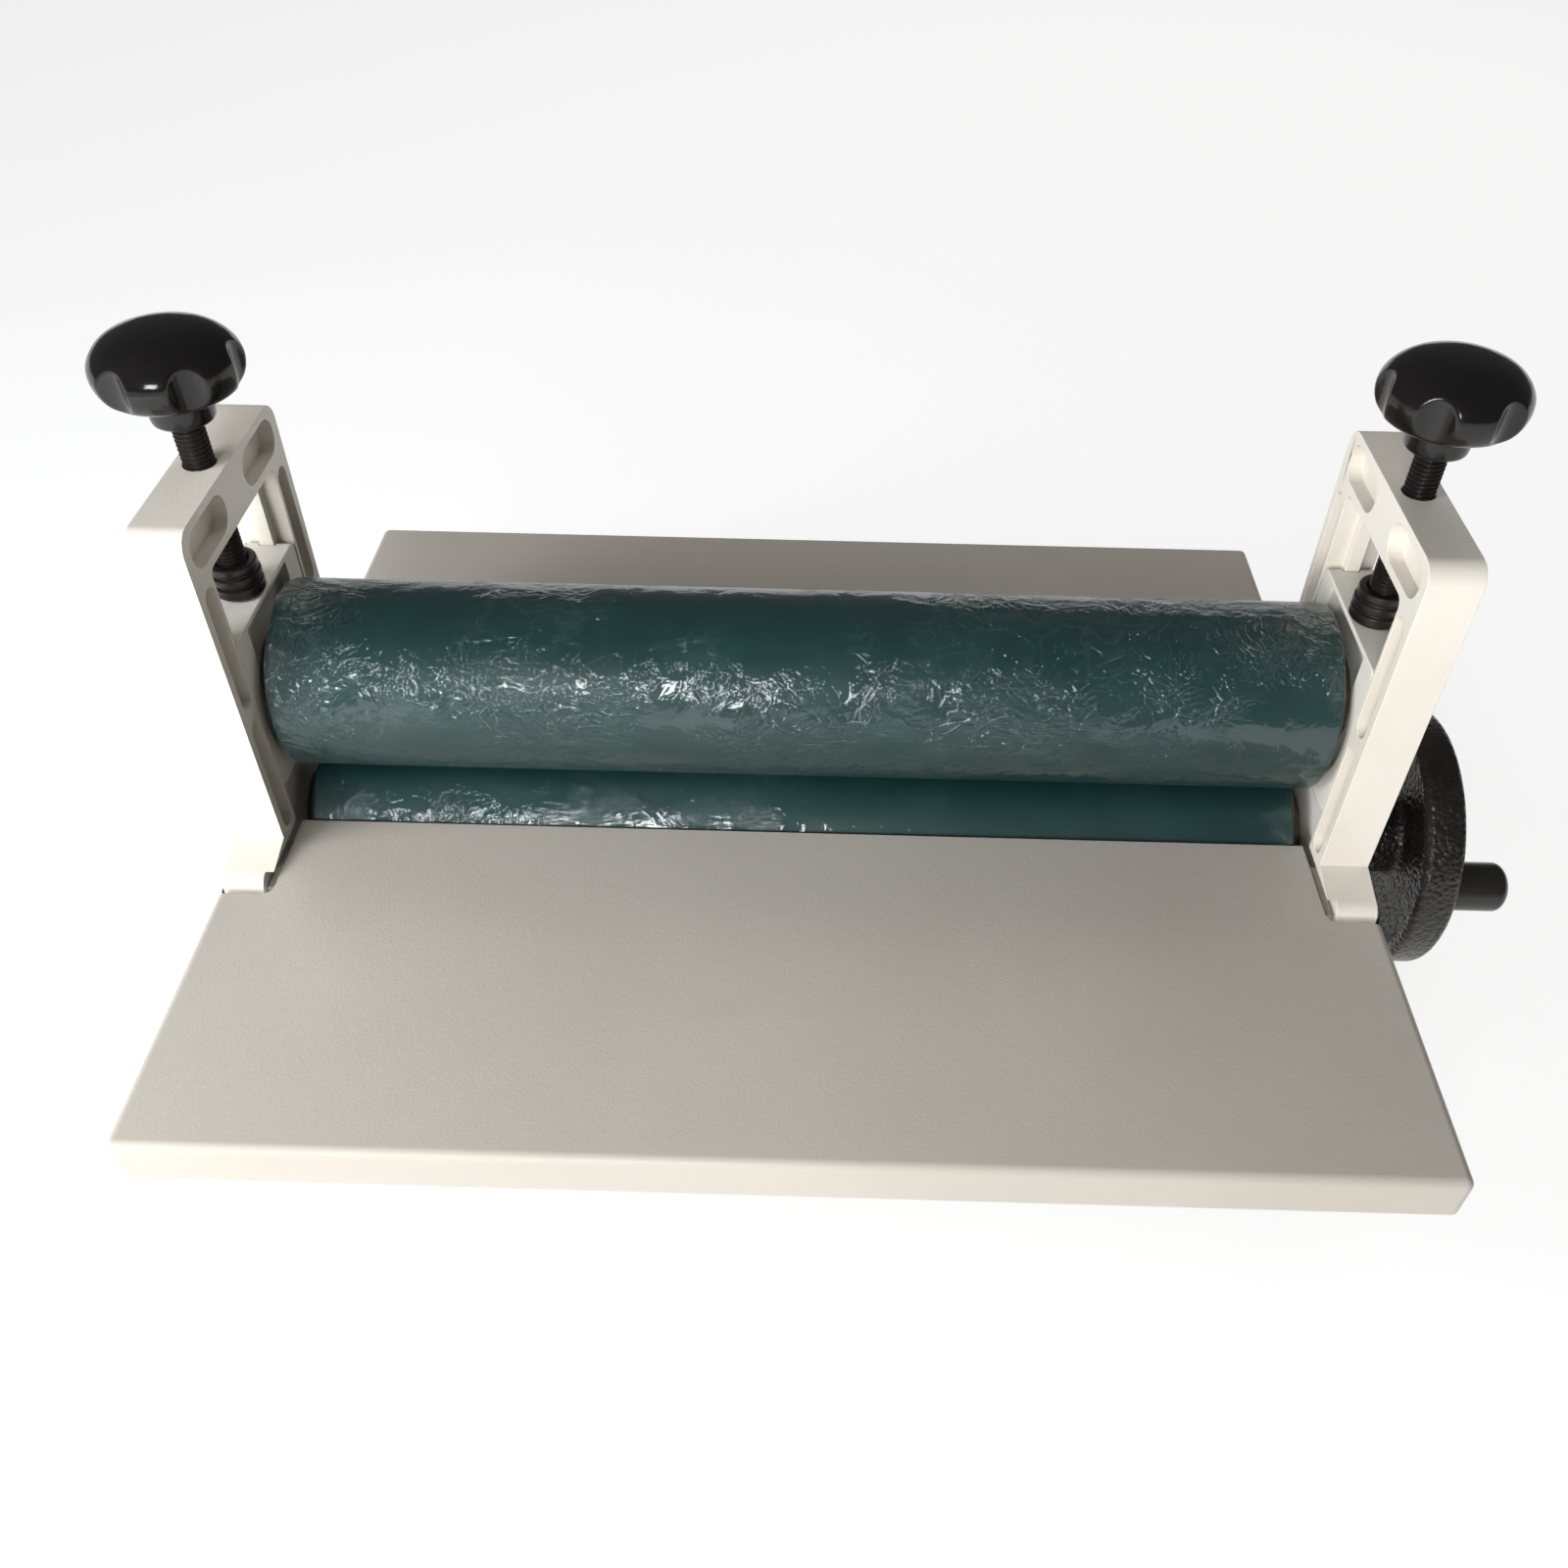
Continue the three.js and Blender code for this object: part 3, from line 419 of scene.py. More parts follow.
def paint(slot, clean, soiled, grain, depth, gloss, patch=70.0, soil=0.35, coat=0.0, specks=0.0):
    """Sprayed paint. grain is the pebble size in mm and depth its height in mm; gloss is the roughness
    at its smoothest; specks is the share of cells that hold a stray dark dot."""
    tree, shader, at = start_material(slot)
    soiling = use(tree, mottling, Position=at, Patch=patch, Amount=soil, Clean=clean, Soiled=soiled)
    skin = use(tree, sprayed_skin, Position=at, Grain=grain)
    colour = tint(tree, sums(tree, "MULTIPLY", skin["Mask"], 0.10), soiling["Colour"], soiled)
    if specks:
        dots = use(tree, stray_specks, Position=at, Spacing=34.0, Size=0.45, Share=specks)["Mask"]
        colour = tint(tree, dots, colour, (0.05, 0.045, 0.04, 1))
    rough = spread(tree, soiling["Mask"], 0.0, 1.0, gloss, gloss + 0.14)
    bump = put(tree, "Bump", {"Strength": 1.0, "Distance": depth * MM, "Height": skin["Height"]})
    tree.links.new(colour, shader["Base Color"])
    tree.links.new(rough, shader["Roughness"])
    tree.links.new(bump.outputs[0], shader["Normal"])
    shader["Coat Weight"].default_value = coat
    shader["Coat Roughness"].default_value = 0.18


def metal(slot, clean, soiled, gloss, metallic=1.0, lines=0.4):
    """Turned or plated metal, with turning marks, rubbed hairlines and a dulled, uneven film of oil."""
    tree, shader, at = start_material(slot)
    soiling = use(tree, mottling, Position=at, Patch=14.0, Amount=0.7, Clean=clean, Soiled=soiled)
    lined = use(tree, hairlines, Position=at, Amount=lines)
    colour = tint(tree, lined["Mask"], soiling["Colour"], clean)
    rough = spread(tree, soiling["Mask"], 0.0, 1.0, gloss, gloss + 0.22)
    bump = put(tree, "Bump", {"Strength": 0.5, "Distance": 0.02 * MM, "Height": lined["Height"]})
    tree.links.new(colour, shader["Base Color"])
    tree.links.new(rough, shader["Roughness"])
    tree.links.new(bump.outputs[0], shader["Normal"])
    shader["Metallic"].default_value = metallic


def moulded(slot, clean, soiled, grain, depth, gloss, rise, lines=0.3, coat=0.0):
    """Moulded plastic or ground rubber: a fine skin, rubbed hairlines, and clouded gloss that rises
    by rise."""
    tree, shader, at = start_material(slot)
    soiling = use(tree, mottling, Position=at, Patch=28.0, Amount=0.6, Clean=clean, Soiled=soiled)
    skin = use(tree, sprayed_skin, Position=at, Grain=grain)
    lined = use(tree, hairlines, Position=at, Amount=lines)
    colour = tint(tree, lined["Mask"], soiling["Colour"], soiled)
    rough = spread(tree, soiling["Mask"], 0.0, 1.0, gloss, gloss + rise)
    rough = sums(tree, "MULTIPLY_ADD", lined["Mask"], 0.12, rough)
    bump = put(tree, "Bump", {"Strength": 1.0, "Distance": depth * MM, "Height": skin["Height"]})
    tree.links.new(colour, shader["Base Color"])
    tree.links.new(rough, shader["Roughness"])
    tree.links.new(bump.outputs[0], shader["Normal"])
    shader["Coat Weight"].default_value = coat
    shader["Coat Roughness"].default_value = 0.05


def hammered(slot):
    """Hammered enamel: leathery black cells with glossier creases between them, and faintly brown
    patches."""
    tree, shader, at = start_material(slot)
    cells = put(
        tree,
        "TexVoronoi",
        {"Vector": at, "Scale": 560.0, "Smoothness": 0.55, "Randomness": 1.0},
        feature="SMOOTH_F1",
    ).outputs["Distance"]
    creases = noise(tree, at, 950.0, 3, 0.6, 0.4)
    height = sums(tree, "MULTIPLY_ADD", creases, 0.35, sums(tree, "MULTIPLY", cells, -1.0))
    soiling = use(
        tree,
        mottling,
        Position=at,
        Patch=18.0,
        Amount=0.8,
        Clean=(0.008, 0.007, 0.0065, 1),
        Soiled=(0.020, 0.016, 0.014, 1),
    )
    between = spread(tree, cells, 0.15, 0.5)
    rough = spread(tree, between, 0.0, 1.0, 0.42, 0.28)
    bump = put(tree, "Bump", {"Strength": 1.0, "Distance": 0.55 * MM, "Height": height})
    tree.links.new(soiling["Colour"], shader["Base Color"])
    tree.links.new(rough, shader["Roughness"])
    tree.links.new(bump.outputs[0], shader["Normal"])


def wrapping(finish, size, rise):
    """Clear wrapping film: it mirrors light as several layers of thin plastic do, more at a glancing
    angle, lets the rest through, and is faintly milky along its creases. size is the blisters' width
    and rise their height, both in mm."""
    tree, _, at = start_material(finish)
    creased = use(tree, film_crinkles, Position=at, Size=size)
    bump = put(tree, "Bump", {"Strength": 1.0, "Distance": rise * MM, "Height": creased["Height"]})
    mirror = {"Color": (1, 1, 1, 1), "Roughness": 0.03, "Normal": bump.outputs[0]}
    mirror = put(tree, "BsdfGlossy", mirror)
    clear = put(tree, "BsdfTransparent", {"Color": (0.97, 0.985, 0.98, 1)})
    milk = put(tree, "BsdfDiffuse", {"Color": (0.7, 0.78, 0.77, 1), "Normal": bump.outputs[0]})
    share = put(tree, "Fresnel", {"IOR": 1.5, "Normal": bump.outputs[0]}).outputs[0]
    share = sums(tree, "MINIMUM", sums(tree, "MULTIPLY", share, 1.35), 0.24)
    haze = spread(tree, creased["Mask"], 0.0, 1.0, 0.003, 0.014)
    body = put(tree, "MixShader", {0: haze, 1: clear.outputs[0], 2: milk.outputs[0]})
    whole = put(tree, "MixShader", {0: share, 1: body.outputs[0], 2: mirror.outputs[0]})
    tree.links.new(whole.outputs[0], tree.nodes["Material Output"].inputs["Surface"])
    tree.nodes.remove(tree.nodes["Principled BSDF"])


paint(
    "cast_paint",
    clean=(0.62, 0.58, 0.515, 1), soiled=(0.51, 0.47, 0.40, 1), grain=1.1, depth=0.035,
    gloss=0.36, patch=45.0, soil=0.4, coat=0.25, specks=0.05,
)
paint(
    "block_paint",
    clean=(0.62, 0.60, 0.545, 1), soiled=(0.48, 0.45, 0.39, 1), grain=0.8, depth=0.02,
    gloss=0.34, patch=25.0, soil=0.5, coat=0.3, specks=0.05,
)
paint(
    "deck_paint",
    clean=(0.405, 0.375, 0.332, 1), soiled=(0.35, 0.318, 0.272, 1), grain=0.7, depth=0.040,
    gloss=0.34, patch=120.0, soil=0.5, coat=0.0, specks=0.09,
)
metal(
    "bright_steel",
    clean=(0.62, 0.61, 0.59, 1), soiled=(0.42, 0.40, 0.37, 1), gloss=0.24,
)
metal(
    "zinc_steel",
    clean=(0.68, 0.69, 0.70, 1), soiled=(0.50, 0.50, 0.49, 1), gloss=0.26,
)
# The bushes' bronze is darkened well below bronze's own brown. Part of that is the dull colour of
# oil-soaked sintered bronze; the rest is painted shade, standing in for the shade of the blocks'
# recesses where the bushes sit.
metal(
    "bronze",
    clean=(0.15, 0.115, 0.085, 1), soiled=(0.08, 0.065, 0.05, 1), gloss=0.45, metallic=0.7,
)
metal(
    "black_steel",
    clean=(0.040, 0.036, 0.034, 1), soiled=(0.075, 0.062, 0.054, 1), gloss=0.27, metallic=0.85,
    lines=0.35,
)
moulded(
    "knob_plastic",
    clean=(0.0045, 0.004, 0.004, 1), soiled=(0.009, 0.0075, 0.007, 1), grain=2.4, depth=0.02,
    gloss=0.10, rise=0.10, lines=0.25,
)
moulded(
    "grip_plastic",
    clean=(0.011, 0.010, 0.0095, 1), soiled=(0.022, 0.019, 0.017, 1), grain=0.5, depth=0.012,
    gloss=0.30, rise=0.12, lines=0.4,
)
moulded(
    "roller_rubber",
    clean=(0.0035, 0.026, 0.0265, 1), soiled=(0.006, 0.038, 0.037, 1), grain=0.5, depth=0.012,
    gloss=0.42, rise=0.16, lines=0.2,
)
moulded(
    "foot_rubber",
    clean=(0.022, 0.022, 0.022, 1), soiled=(0.05, 0.048, 0.044, 1), grain=0.7, depth=0.03,
    gloss=0.62, rise=0.2, lines=0.2,
)
hammered("wheel_paint")
wrapping("clear_film", size=7.0, rise=0.85)
wrapping("tight_film", size=5.0, rise=0.4)

# ---------------------------------------------------------------- castings and folded sheet


def dress_nodes():
    """Gives each node that stays its own finish, in place of its plain colour."""
    for part in frame["record"]["subparts"]:
        node = frame["nodes"][part["node"]]
        node.data.materials.clear()
        node.data.materials.append(finishes[part["material_slot"]])


def side_castings():
    """The side frames and their bearing blocks, each from its own node."""
    for side in ("left", "right"):
        softened(f"{side}_frame_casting", f"{side}_side_frame", "cast_paint", "base", CAST_EDGE)
        for name, node, body in (
            ("block_casting", "sliding_block", "carriage"),
            ("lower_block_casting", "fixed_block", "base"),
        ):
            softened(f"{side}_{name}", f"{side}_{node}", "block_paint", body, BLOCK_EDGE)


def folded_deck(end, name):
    """A deck of folded sheet: its plan outline, with the round-cornered notches for the frames' legs,
    and a flange down its three outer sides. The folds are rounded first, and the sheet's thickness
    goes inwards from them."""
    low, high = box_of(f"{name}_deck")
    middle, half = (low[0] + high[0]) / 2, (high[0] - low[0]) / 2
    near, far = sorted((abs(low[1]), abs(high[1])))
    toe = box_of("left_side_frame")[1][1] + 2.9 * MM
    notch = box_of("right_side_frame")[0][0] + 1.7 * MM - middle
    turn = np.linspace(0, np.pi / 2, 7)
    corner_x = notch + NOTCH_CORNER * (1 - np.cos(turn))
    corner_y = toe - NOTCH_CORNER * (1 - np.sin(turn))
    right = np.vstack([
        [(notch, near)],
        np.stack([corner_x, corner_y], -1),
        [(half, toe), (half, far)],
    ])
    outline = np.vstack([right, (right * (-1, 1))[::-1]])
    count = len(outline)
    work = bmesh.new()
    weight = work.edges.layers.float.new("bevel_weight_edge")
    tops = [work.verts.new((middle + x, end * y, high[2])) for x, y in outline.tolist()]
    work.faces.new(tops)
    first = count // 2 - 2
    rim = range(first, first + 4)
    drops = [work.verts.new((tops[i].co.x, tops[i].co.y, low[2])) for i in rim]
    for step in range(3):
        a, b = tops[first + step], tops[first + step + 1]
        work.faces.new((a, drops[step], drops[step + 1], b))
    bmesh.ops.recalc_face_normals(work, faces=work.faces)
    work.normal_update()
    top = max(work.faces, key=lambda f: f.calc_area())
    if top.normal.z < 0:
        bmesh.ops.reverse_faces(work, faces=work.faces)
    for edge in [e for e in work.edges if len(e.link_faces) == 2]:
        edge[weight] = 1.0
    mesh = bpy.data.meshes.new(f"{name}_folded_deck")
    work.to_mesh(mesh)
    work.free()
    piece = place(f"{name}_folded_deck", mesh, "deck_paint", "base", [f"{name}_deck"], 180)
    bend = piece.modifiers.new("bend", "BEVEL")
    bend.width, bend.segments, bend.limit_method = DECK_BEND, 6, "WEIGHT"
    wall = piece.modifiers.new("sheet", "SOLIDIFY")
    wall.thickness, wall.offset, wall.use_even_offset = DECK_SHEET, -1, True
    return ease_edges(piece, FOLD_EDGE, 2, 50)


def cross_channels():
    """The two channels under the decks, from their own nodes."""
    for end in ("front", "rear"):
        softened(f"{end}_channel", f"{end}_cross_channel", "deck_paint", "base", 0.5 * MM, 2)


def feet():
    """Turned rubber feet, wider at the table, with the hollow for the screw's head left open below."""
    for end in ("front", "rear"):
        for side in ("left", "right"):
            node = f"{end}_{side}_foot"
            low, high = box_of(node)
            centre = centre_of(node) * (1, 1, 0)
            outer, height = (high[0] - low[0]) / 2, high[2] - low[2]
            profile = [
                (FOOT_SCREW_HEAD, 0),
                (outer, 0),
                (outer, 2.2 * MM),
                (outer - 0.9 * MM, 3 * MM),
                (outer - 1.0 * MM, height),
                (FOOT_SCREW, height),
                (FOOT_SCREW, height / 2),
                (FOOT_SCREW_HEAD, height / 2),
            ]
            body = turned(rounded(profile, 0.7 * MM, 3, True), "Z", centre, 64, True)
            make_piece(f"{end}_{side}_rubber_foot", [body], "foot_rubber", "base", [node])


# ---------------------------------------------------------------- rollers and their film


def rubber_sleeve(which):
    """A ground rubber sleeve with lightly rounded ends, a shade under the film that wraps it."""
    node = f"{which}_roller_rubber"
    low, high = box_of(node)
    centre, half = centre_of(node), (high[0] - low[0]) / 2
    outer = (high[2] - low[2]) / 2 - RUBBER_EASE
    inner = half_size(f"{which}_roller_tube")[2] + SEAT_GAP
    profile = [(inner, -half), (outer, -half), (outer, half), (inner, half)]
    barrel = turned(rounded(profile, 1.2 * MM, 5, True), "X", centre, 160, True)
    make_piece(f"{which}_rubber_sleeve", [barrel], "roller_rubber", f"{which}_roller", [node])


def film_sleeve(which, seed, folds, reach, finish):
    """Clear film wound round a roller and tucked over its ends: a path runs out along one end face,
    round the corner, along the barrel and in over the other end. Its height over the rubber is the
    highest of short bowed folds, each a bell across its width and along its length, at seeded places,
    with a little slow slack added; a larger reach crowds them more to the left."""
    node = f"{which}_roller_rubber"
    low, high = box_of(node)
    centre, half = centre_of(node), (high[0] - low[0]) / 2
    skin = (high[2] - low[2]) / 2
    floor = skin - RUBBER_EASE + 0.06 * MM
    edge, corner = half - 0.6 * MM, half + 0.3 * MM
    tuck = np.array((skin - 5.5 * MM, half + 0.5 * MM))
    barrel = np.linspace(-edge, edge, 404)
    profile = np.vstack([
        rounded([tuck * (1, -1), (floor, -corner), (floor, -edge)], 1.2 * MM, 5)[:-1],
        np.stack([0 * barrel + floor, barrel], -1),
        rounded([(floor, edge), (floor, corner), tuck], 1.2 * MM, 5)[1:],
    ])
    sides = 228
    angle = np.linspace(0, 2 * np.pi, sides, endpoint=False)[None, :]
    station = profile[:, 1, None]
    rng = np.random.default_rng(seed)
    height = np.zeros((len(profile), sides))
    for _ in range(folds):
        at = half * (2 * rng.beta(1.0, reach) - 1)
        facing, lean = rng.uniform(0, 2 * np.pi), rng.normal(0, 0.9)
        length, width = rng.uniform(4, 15) * MM, rng.uniform(0.8, 2.1) * MM
        bow = rng.normal(0, 22)
        s = station - at
        a = ((angle - facing + np.pi) % (2 * np.pi) - np.pi) * skin
        along = s * np.cos(lean) + a * np.sin(lean)
        across = -s * np.sin(lean) + a * np.cos(lean) + bow * along**2
        bell = np.exp(-((across / width) ** 2) - (along / length) ** 2)
        height = np.maximum(height, bell * rng.uniform(0.4, 1.0))
    slack = 0.5 + 0.5 * np.sin(3 * angle + 40 * station) * np.sin(55 * station + 2 * angle)
    height = np.clip(0.82 * height + 0.18 * slack, 0, 1) * (skin - floor - 0.01 * MM)
    beyond = np.clip((np.abs(station) - half) / MM, 0, 1)
    crumple = np.sin(9 * angle + 3 * np.sin(4 * angle)) * beyond
    radius = np.minimum(profile[:, 0, None] + height, skin)
    station = station + np.sign(station) * 0.35 * MM * crumple
    points = np.stack([station + 0 * angle, radius * np.cos(angle), radius * np.sin(angle)], -1)
    grid = (points + centre, grid_faces(len(profile), sides))
    name, body = f"{which}_roller_film", f"{which}_roller"
    make_piece(name, [grid], finish, body, sheet=True, sharp=180)


# ---------------------------------------------------------------- screws, knobs and collars


def threaded_screw(side):
    """A pressure screw: its radius falls from the crest by the thread depth times a blunted triangle
    wave of height / pitch - angle / one turn, and both ends are chamfered and closed."""
    node = f"{side}_pressure_screw"
    low, high = box_of(node)
    crest, columns = (high[0] - low[0]) / 2, 40
    rows = int((high[2] - low[2]) / THREAD_PITCH * 12)
    angle = np.linspace(0, 2 * np.pi, columns, endpoint=False)[None, :]
    station = np.linspace(low[2], high[2], rows)[:, None]
    phase = (station / THREAD_PITCH - angle / (2 * np.pi)) % 1
    wave = np.clip(2.6 * np.abs(phase - 0.5) - 0.15, 0, 1)
    end = np.minimum(station - low[2], high[2] - station)
    radius = np.minimum(crest - THREAD_DEPTH * wave, crest - 1.1 * MM + end)
    radius[[0, -1]] = 0
    height = np.broadcast_to(station, radius.shape).copy()
    height[[1, -2]] = height[[0, -1]]
    points = np.stack([radius * np.cos(angle), radius * np.sin(angle), height], -1)
    rod = (points + centre_of(node) * (1, 1, 0), grid_faces(rows, columns))
    make_piece(f"{side}_threaded_screw", [rod], "black_steel", f"{side}_screw", [node], 40)


def lobed_knob(side):
    """A six-lobed knob: a thick domed profile, turned, with an upright round groove between each two
    lobes. At an angle t from a groove's middle its wall is c cos t - sqrt(q^2 - (c sin t)^2) from the
    axis, for a groove of radius q about a line at c, and the form's radius is the softened lesser of
    the two."""
    node = f"{side}_knob"
    low, high = box_of(node)
    screw_low, screw_high = box_of(f"{side}_pressure_screw")
    bore = (screw_high[0] - screw_low[0]) / 2 + SEAT_GAP
    hub, outer, neck = KNOB_HUB, KNOB_RADIUS, KNOB_NECK
    rise = high[2] - low[2] - neck
    socket = screw_high[2] - low[2] + SEAT_GAP
    profile = np.array([
        (0, socket),
        (bore, socket),
        (bore, 0),
        (hub - 0.4 * MM, 0),
        (hub, 3 * MM),
        (hub, neck),
        (0.78 * outer, neck + 0.01 * rise),
        (0.9 * outer, neck + 0.08 * rise),
        (0.97 * outer, neck + 0.22 * rise),
        (0.998 * outer, neck + 0.4 * rise),
        (0.97 * outer, neck + 0.56 * rise),
        (0.87 * outer, neck + 0.72 * rise),
        (0.7 * outer, neck + 0.86 * rise),
        (0.42 * outer, neck + 0.96 * rise),
        (0, neck + 0.999 * rise),
    ])
    profile = rounded(rounded(profile, 3.0 * MM, 5), 1.0 * MM, 3)
    sides = 240
    angle = np.linspace(0, 2 * np.pi, sides, endpoint=False)[None, :]
    radius, station = profile[:, 0, None], profile[:, 1, None]
    axis = outer - FLUTE_DEPTH + FLUTE_RADIUS
    turn = (angle - LOBE_TURN[side]) % (2 * np.pi / KNOB_LOBES) - np.pi / KNOB_LOBES
    chord = np.sqrt(np.maximum(FLUTE_RADIUS**2 - (axis * np.sin(turn)) ** 2, 0))
    wall = axis * np.cos(turn) - chord
    share = np.clip(0.5 + 0.5 * (wall - radius) / FLUTE_EASE, 0, 1)
    radius = radius * share + wall * (1 - share) - FLUTE_EASE * share * (1 - share)
    points = np.stack([radius * np.cos(angle), radius * np.sin(angle), station + 0 * angle], -1)
    seat = centre_of(f"{side}_pressure_screw") * (1, 1, 0) + (0, 0, low[2])
    grid = (points + seat, grid_faces(len(profile), sides))
    make_piece(f"{side}_lobed_knob", [grid], "knob_plastic", f"{side}_screw", [node], 60)


def ringed_collar(side):
    """A pressure collar: a thick disc with two rounded rings turned in its side and a socket for the
    screw."""
    node = f"{side}_pressure_collar"
    low, high = box_of(node)
    outer, tall = (high[0] - low[0]) / 2, high[2] - low[2]
    bore = half_size(f"{side}_pressure_screw")[0] + SEAT_GAP
    profile = [
        (0, 0),
        (outer - 0.8 * MM, 0),
        (outer, 0.9 * MM),
        (outer, 0.33 * tall),
        (outer - RING_GROOVE, 0.37 * tall),
        (outer - RING_GROOVE, 0.42 * tall),
        (outer, 0.46 * tall),
        (outer, 0.66 * tall),
        (outer - RING_GROOVE, 0.70 * tall),
        (outer - RING_GROOVE, 0.76 * tall),
        (outer - 0.3 * MM, 0.80 * tall),
        (outer - 0.6 * MM, tall),
        (bore, tall),
        (bore, COLLAR_FLOOR),
        (0, COLLAR_FLOOR),
    ]
    seat = centre_of(node) * (1, 1, 0) + (0, 0, low[2])
    disc = turned(rounded(profile, 0.5 * MM, 4), "Z", seat, 96)
    make_piece(f"{side}_ringed_collar", [disc], "black_steel", "carriage", [node], 50)


# ---------------------------------------------------------------- handwheel


def dished_wheel():
    """The handwheel: a turned section of rim, dished web and hub, and the boss that the grip's bolt
    enters."""
    node = "handwheel"
    low, high = box_of(node)
    axis = centre_of("right_lower_stub_shaft") * (0, 1, 1)
    rim = (high[2] - low[2]) / 2
    hub, bore = WHEEL_HUB, JOURNAL_RADIUS + SEAT_GAP
    back, front = high[0] - RIM_WIDTH, high[0]
    web_back, web_front = front - WEB[0], front - WEB[1]
    inner, ease = rim - WHEEL_RIM, 1.6 * MM
    profile = [
        (bore, low[0]),
        (hub, low[0]),
        (hub, web_back - ease),
        (hub + ease, web_back),
        (inner - 2 * ease, web_back),
        (inner, web_back - ease),
        (inner, back + ease / 2),
        (inner + ease / 2, back),
        (rim - ease, back),
        (rim, back + ease),
        (rim, front - ease),
        (rim - ease, front),
        (inner + ease / 2, front),
        (inner - ease, web_front),
        (hub + ease, web_front),
        (hub, front),
        (bore, front),
    ]
    disc = turned(rounded(profile, 1.3 * MM, 5, True), "X", axis, 160, True)
    grip = centre_of("crank_grip") * (0, 1, 1)
    foot = web_back + MM
    boss = [(0, foot), (GRIP_BOSS, foot), (GRIP_BOSS, front), (0, front)]
    boss = turned(rounded(boss, 0.8 * MM, 4), "X", grip, 64)
    make_piece("dished_handwheel", [disc, boss], "wheel_paint", "lower_roller", [node], 50)


def turned_grip():
    """The crank grip: a straight barrel with a softly rounded outer end, and the hollow for its
    bolt's head."""
    node = "crank_grip"
    low, high = box_of(node)
    outer = (high[2] - low[2]) / 2
    hollow, depth = GRIP_HOLLOW
    profile = [
        (GRIP_BORE, low[0]),
        (outer - 0.3 * MM, low[0]),
        (outer, low[0] + 2 * MM),
        (outer, high[0] - 2 * MM),
        (outer - 2.2 * MM, high[0]),
        (hollow, high[0]),
        (hollow, high[0] - depth),
        (GRIP_BORE, high[0] - depth),
    ]
    barrel = turned(rounded(profile, 1.4 * MM, 5, True), "X", centre_of(node) * (0, 1, 1), 96, True)
    make_piece("turned_grip", [barrel], "grip_plastic", "grip", [node], 50)


dress_nodes()
side_castings()
folded_deck(-1, "front")
folded_deck(1, "rear")
cross_channels()
feet()
for which in ("upper", "lower"):
    rubber_sleeve(which)
film_sleeve("upper", 7, 620, 1.5, "clear_film")
film_sleeve("lower", 11, 700, 1.2, "tight_film")
for side in ("left", "right"):
    threaded_screw(side)
    lobed_knob(side)
    ringed_collar(side)
dished_wheel()
turned_grip()

# ---------------------------------------------------------------- floor, lights and camera


def pale_floor():
    """A wide pale table top that glows faintly, so that it stays light far from the lamps."""
    mesh = bpy.data.meshes.new("floor")
    reach = 40.0
    corners = [(-reach, -reach, 0), (reach, -reach, 0), (reach, reach, 0), (-reach, reach, 0)]
    mesh.from_pydata(corners, [], [(0, 1, 2, 3)])
    material = bpy.data.materials.new("floor")
    material.use_nodes = True
    shader = material.node_tree.nodes["Principled BSDF"].inputs
    shader["Base Color"].default_value = (0.22, 0.22, 0.22, 1)
    shader["Roughness"].default_value = 0.9
    shader["Emission Color"].default_value = (1, 1, 1, 1)
    shader["Emission Strength"].default_value = 0.80
    mesh.materials.append(material)
    floor = bpy.data.objects.new("floor", mesh)
    bpy.context.scene.collection.objects.link(floor)


def soft_light(name, at, towards, size, radiance, colour, mirrored=False):
    """A soft panel light of a given radiance: its power is radiance x area x pi. Glossy surfaces
    mirror it only if mirrored."""
    light = bpy.data.lights.new(name, "AREA")
    light.shape, light.size, light.size_y = "RECTANGLE", size[0], size[1]
    light.energy = radiance * size[0] * size[1] * np.pi
    light.color = colour
    lamp = bpy.data.objects.new(name, light)
    bpy.context.scene.collection.objects.link(lamp)
    lamp.visible_glossy = mirrored
    aim = np.array(towards) - np.array(at)
    lamp.location = at
    lamp.rotation_euler = (
        np.arccos(-aim[2] / np.linalg.norm(aim)),
        0,
        np.arctan2(aim[1], aim[0]) - np.pi / 2,
    )


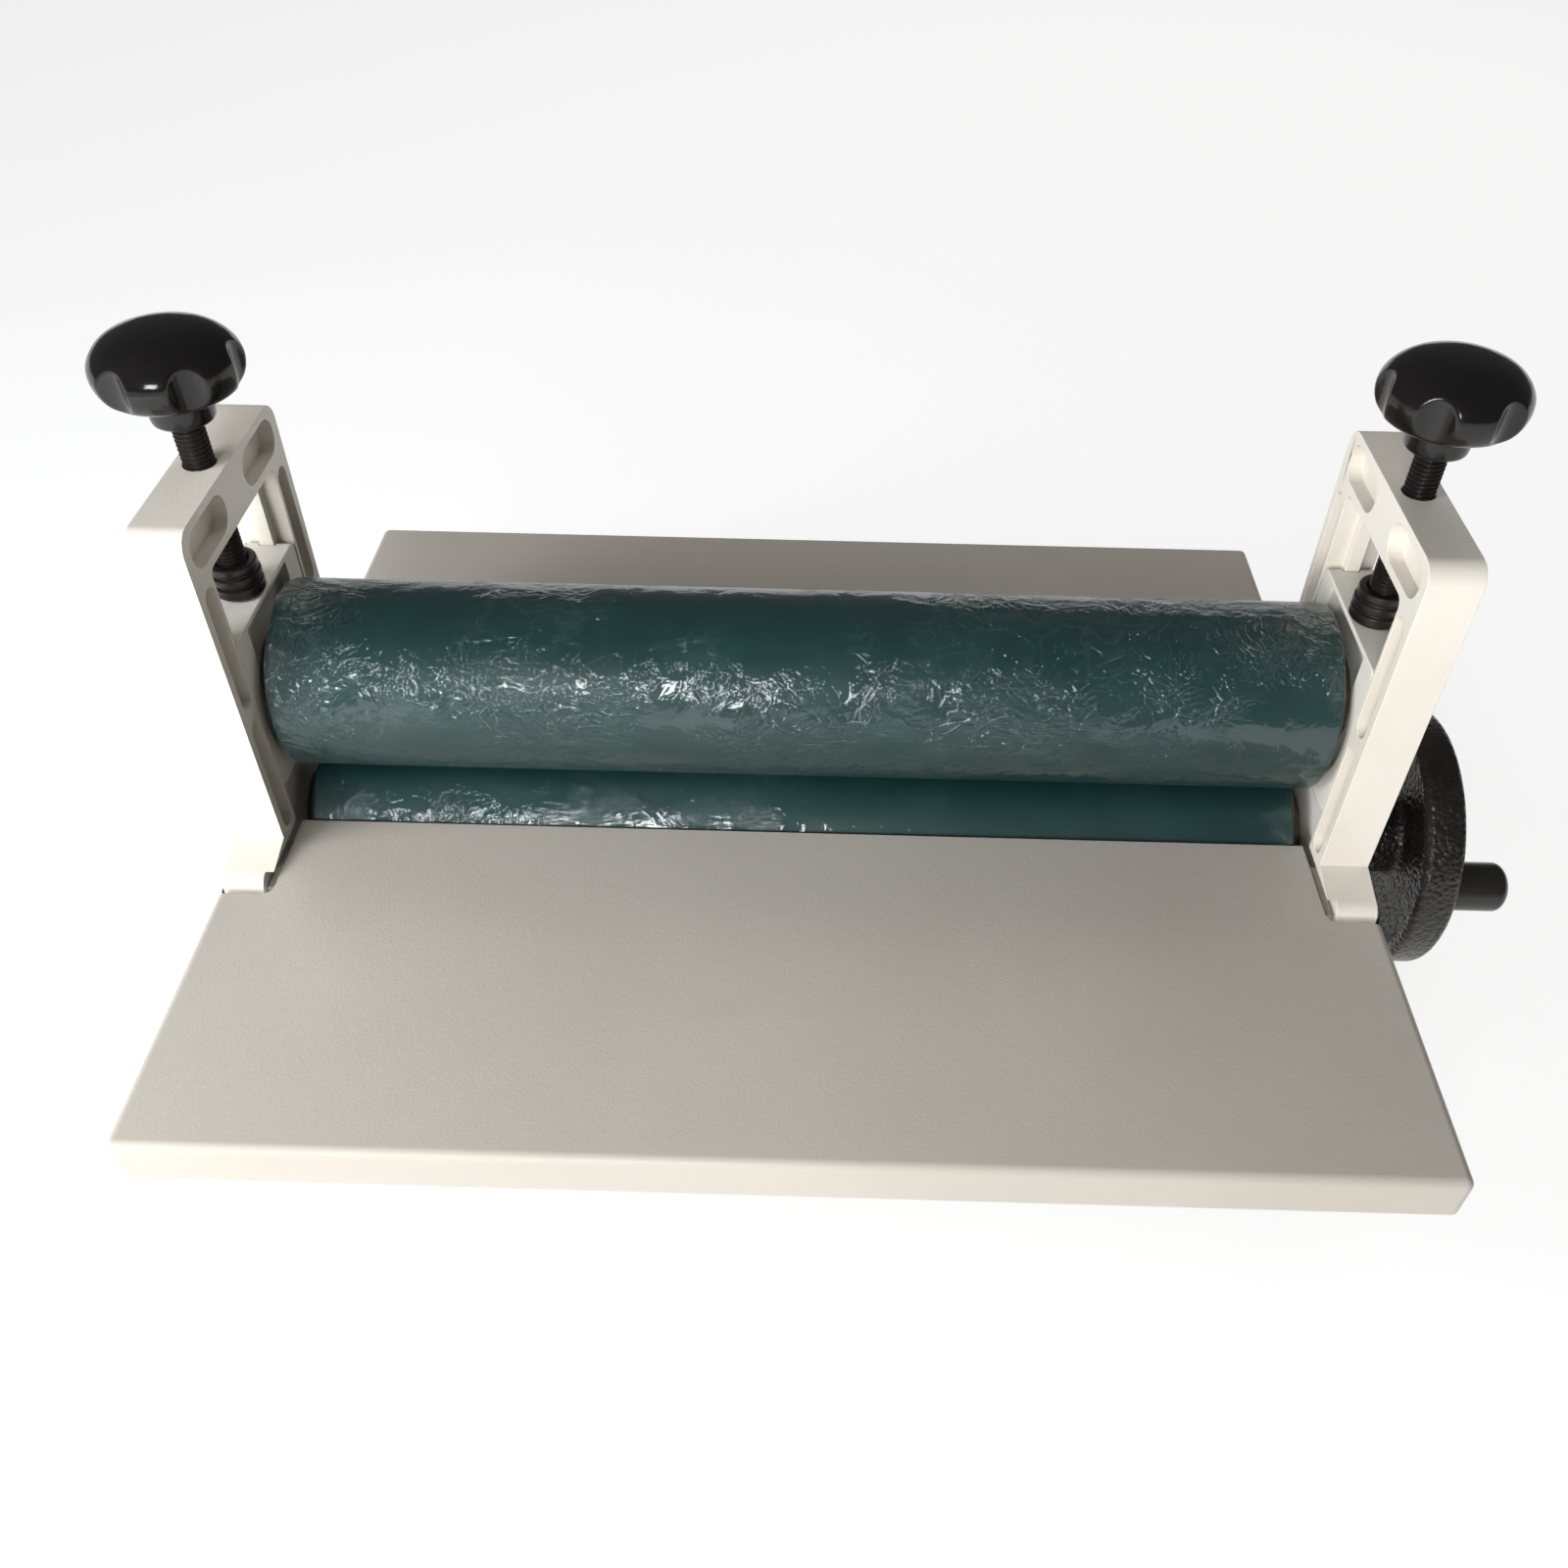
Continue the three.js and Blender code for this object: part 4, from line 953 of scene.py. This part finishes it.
def pale_room():
    """A pale backdrop to look at, and a dimmer one to light and to be mirrored."""
    world = bpy.data.worlds.new("pale_room")
    world.use_nodes = True
    tree = world.node_tree
    dim = tree.nodes["Background"]
    dim.inputs["Color"].default_value = (0.95, 0.97, 1.0, 1)
    dim.inputs["Strength"].default_value = 0.10
    seen = put(tree, "Background", {"Color": (0.97, 0.98, 1.0, 1), "Strength": 0.86})
    looked_at = put(tree, "LightPath").outputs["Is Camera Ray"]
    mixed = put(tree, "MixShader", {0: looked_at, 1: dim.outputs[0], 2: seen.outputs[0]})
    tree.links.new(mixed.outputs[0], tree.nodes["World Output"].inputs["Surface"])
    bpy.context.scene.world = world


def eye():
    """The camera: in front of the machine, a little above it, and close."""
    camera = bpy.data.cameras.new("camera")
    camera.lens, camera.sensor_width = 31.51, 36
    camera.shift_x, camera.shift_y = -0.0179, 0.0199
    camera.clip_start = 0.01
    holder = bpy.data.objects.new("camera", camera)
    bpy.context.scene.collection.objects.link(holder)
    holder.location = (-0.01229, -0.38111, 0.42832)
    holder.rotation_euler = (radians(46.088), radians(-0.72), radians(1.401))
    bpy.context.scene.camera = holder


pale_floor()
pale_room()
soft_light(
    "window",
    at=(-0.34, -1.25, 0.76), towards=(-0.02, 0, 0.10), size=(0.34, 0.34),
    colour=(0.95, 0.98, 1.0), radiance=21, mirrored=True,
)
soft_light(
    "front_panel",
    at=(-0.5, -0.9, 0.25), towards=(0, 0, 0.10), size=(0.7, 0.3), colour=(1.0, 0.99, 0.97),
    radiance=15.0,
)
soft_light(
    "left_fill",
    at=(-0.64, -0.32, 0.44), towards=(-0.14, -0.05, 0.08), size=(0.4, 0.5),
    colour=(0.93, 0.96, 1.0), radiance=10.0,
)
soft_light(
    "rear_fill",
    at=(0.5, 1.3, 1.5), towards=(0, 0.05, 0.10), size=(1.2, 1.0), colour=(1.0, 0.98, 0.95),
    radiance=3.2,
)
soft_light(
    "right_fill",
    at=(1.5, -0.5, 0.9), towards=(0, 0, 0.1), size=(1.0, 1.0), colour=(1.0, 0.88, 0.76),
    radiance=0.45,
)
bpy.context.scene.view_settings.view_transform = "Standard"
eye()
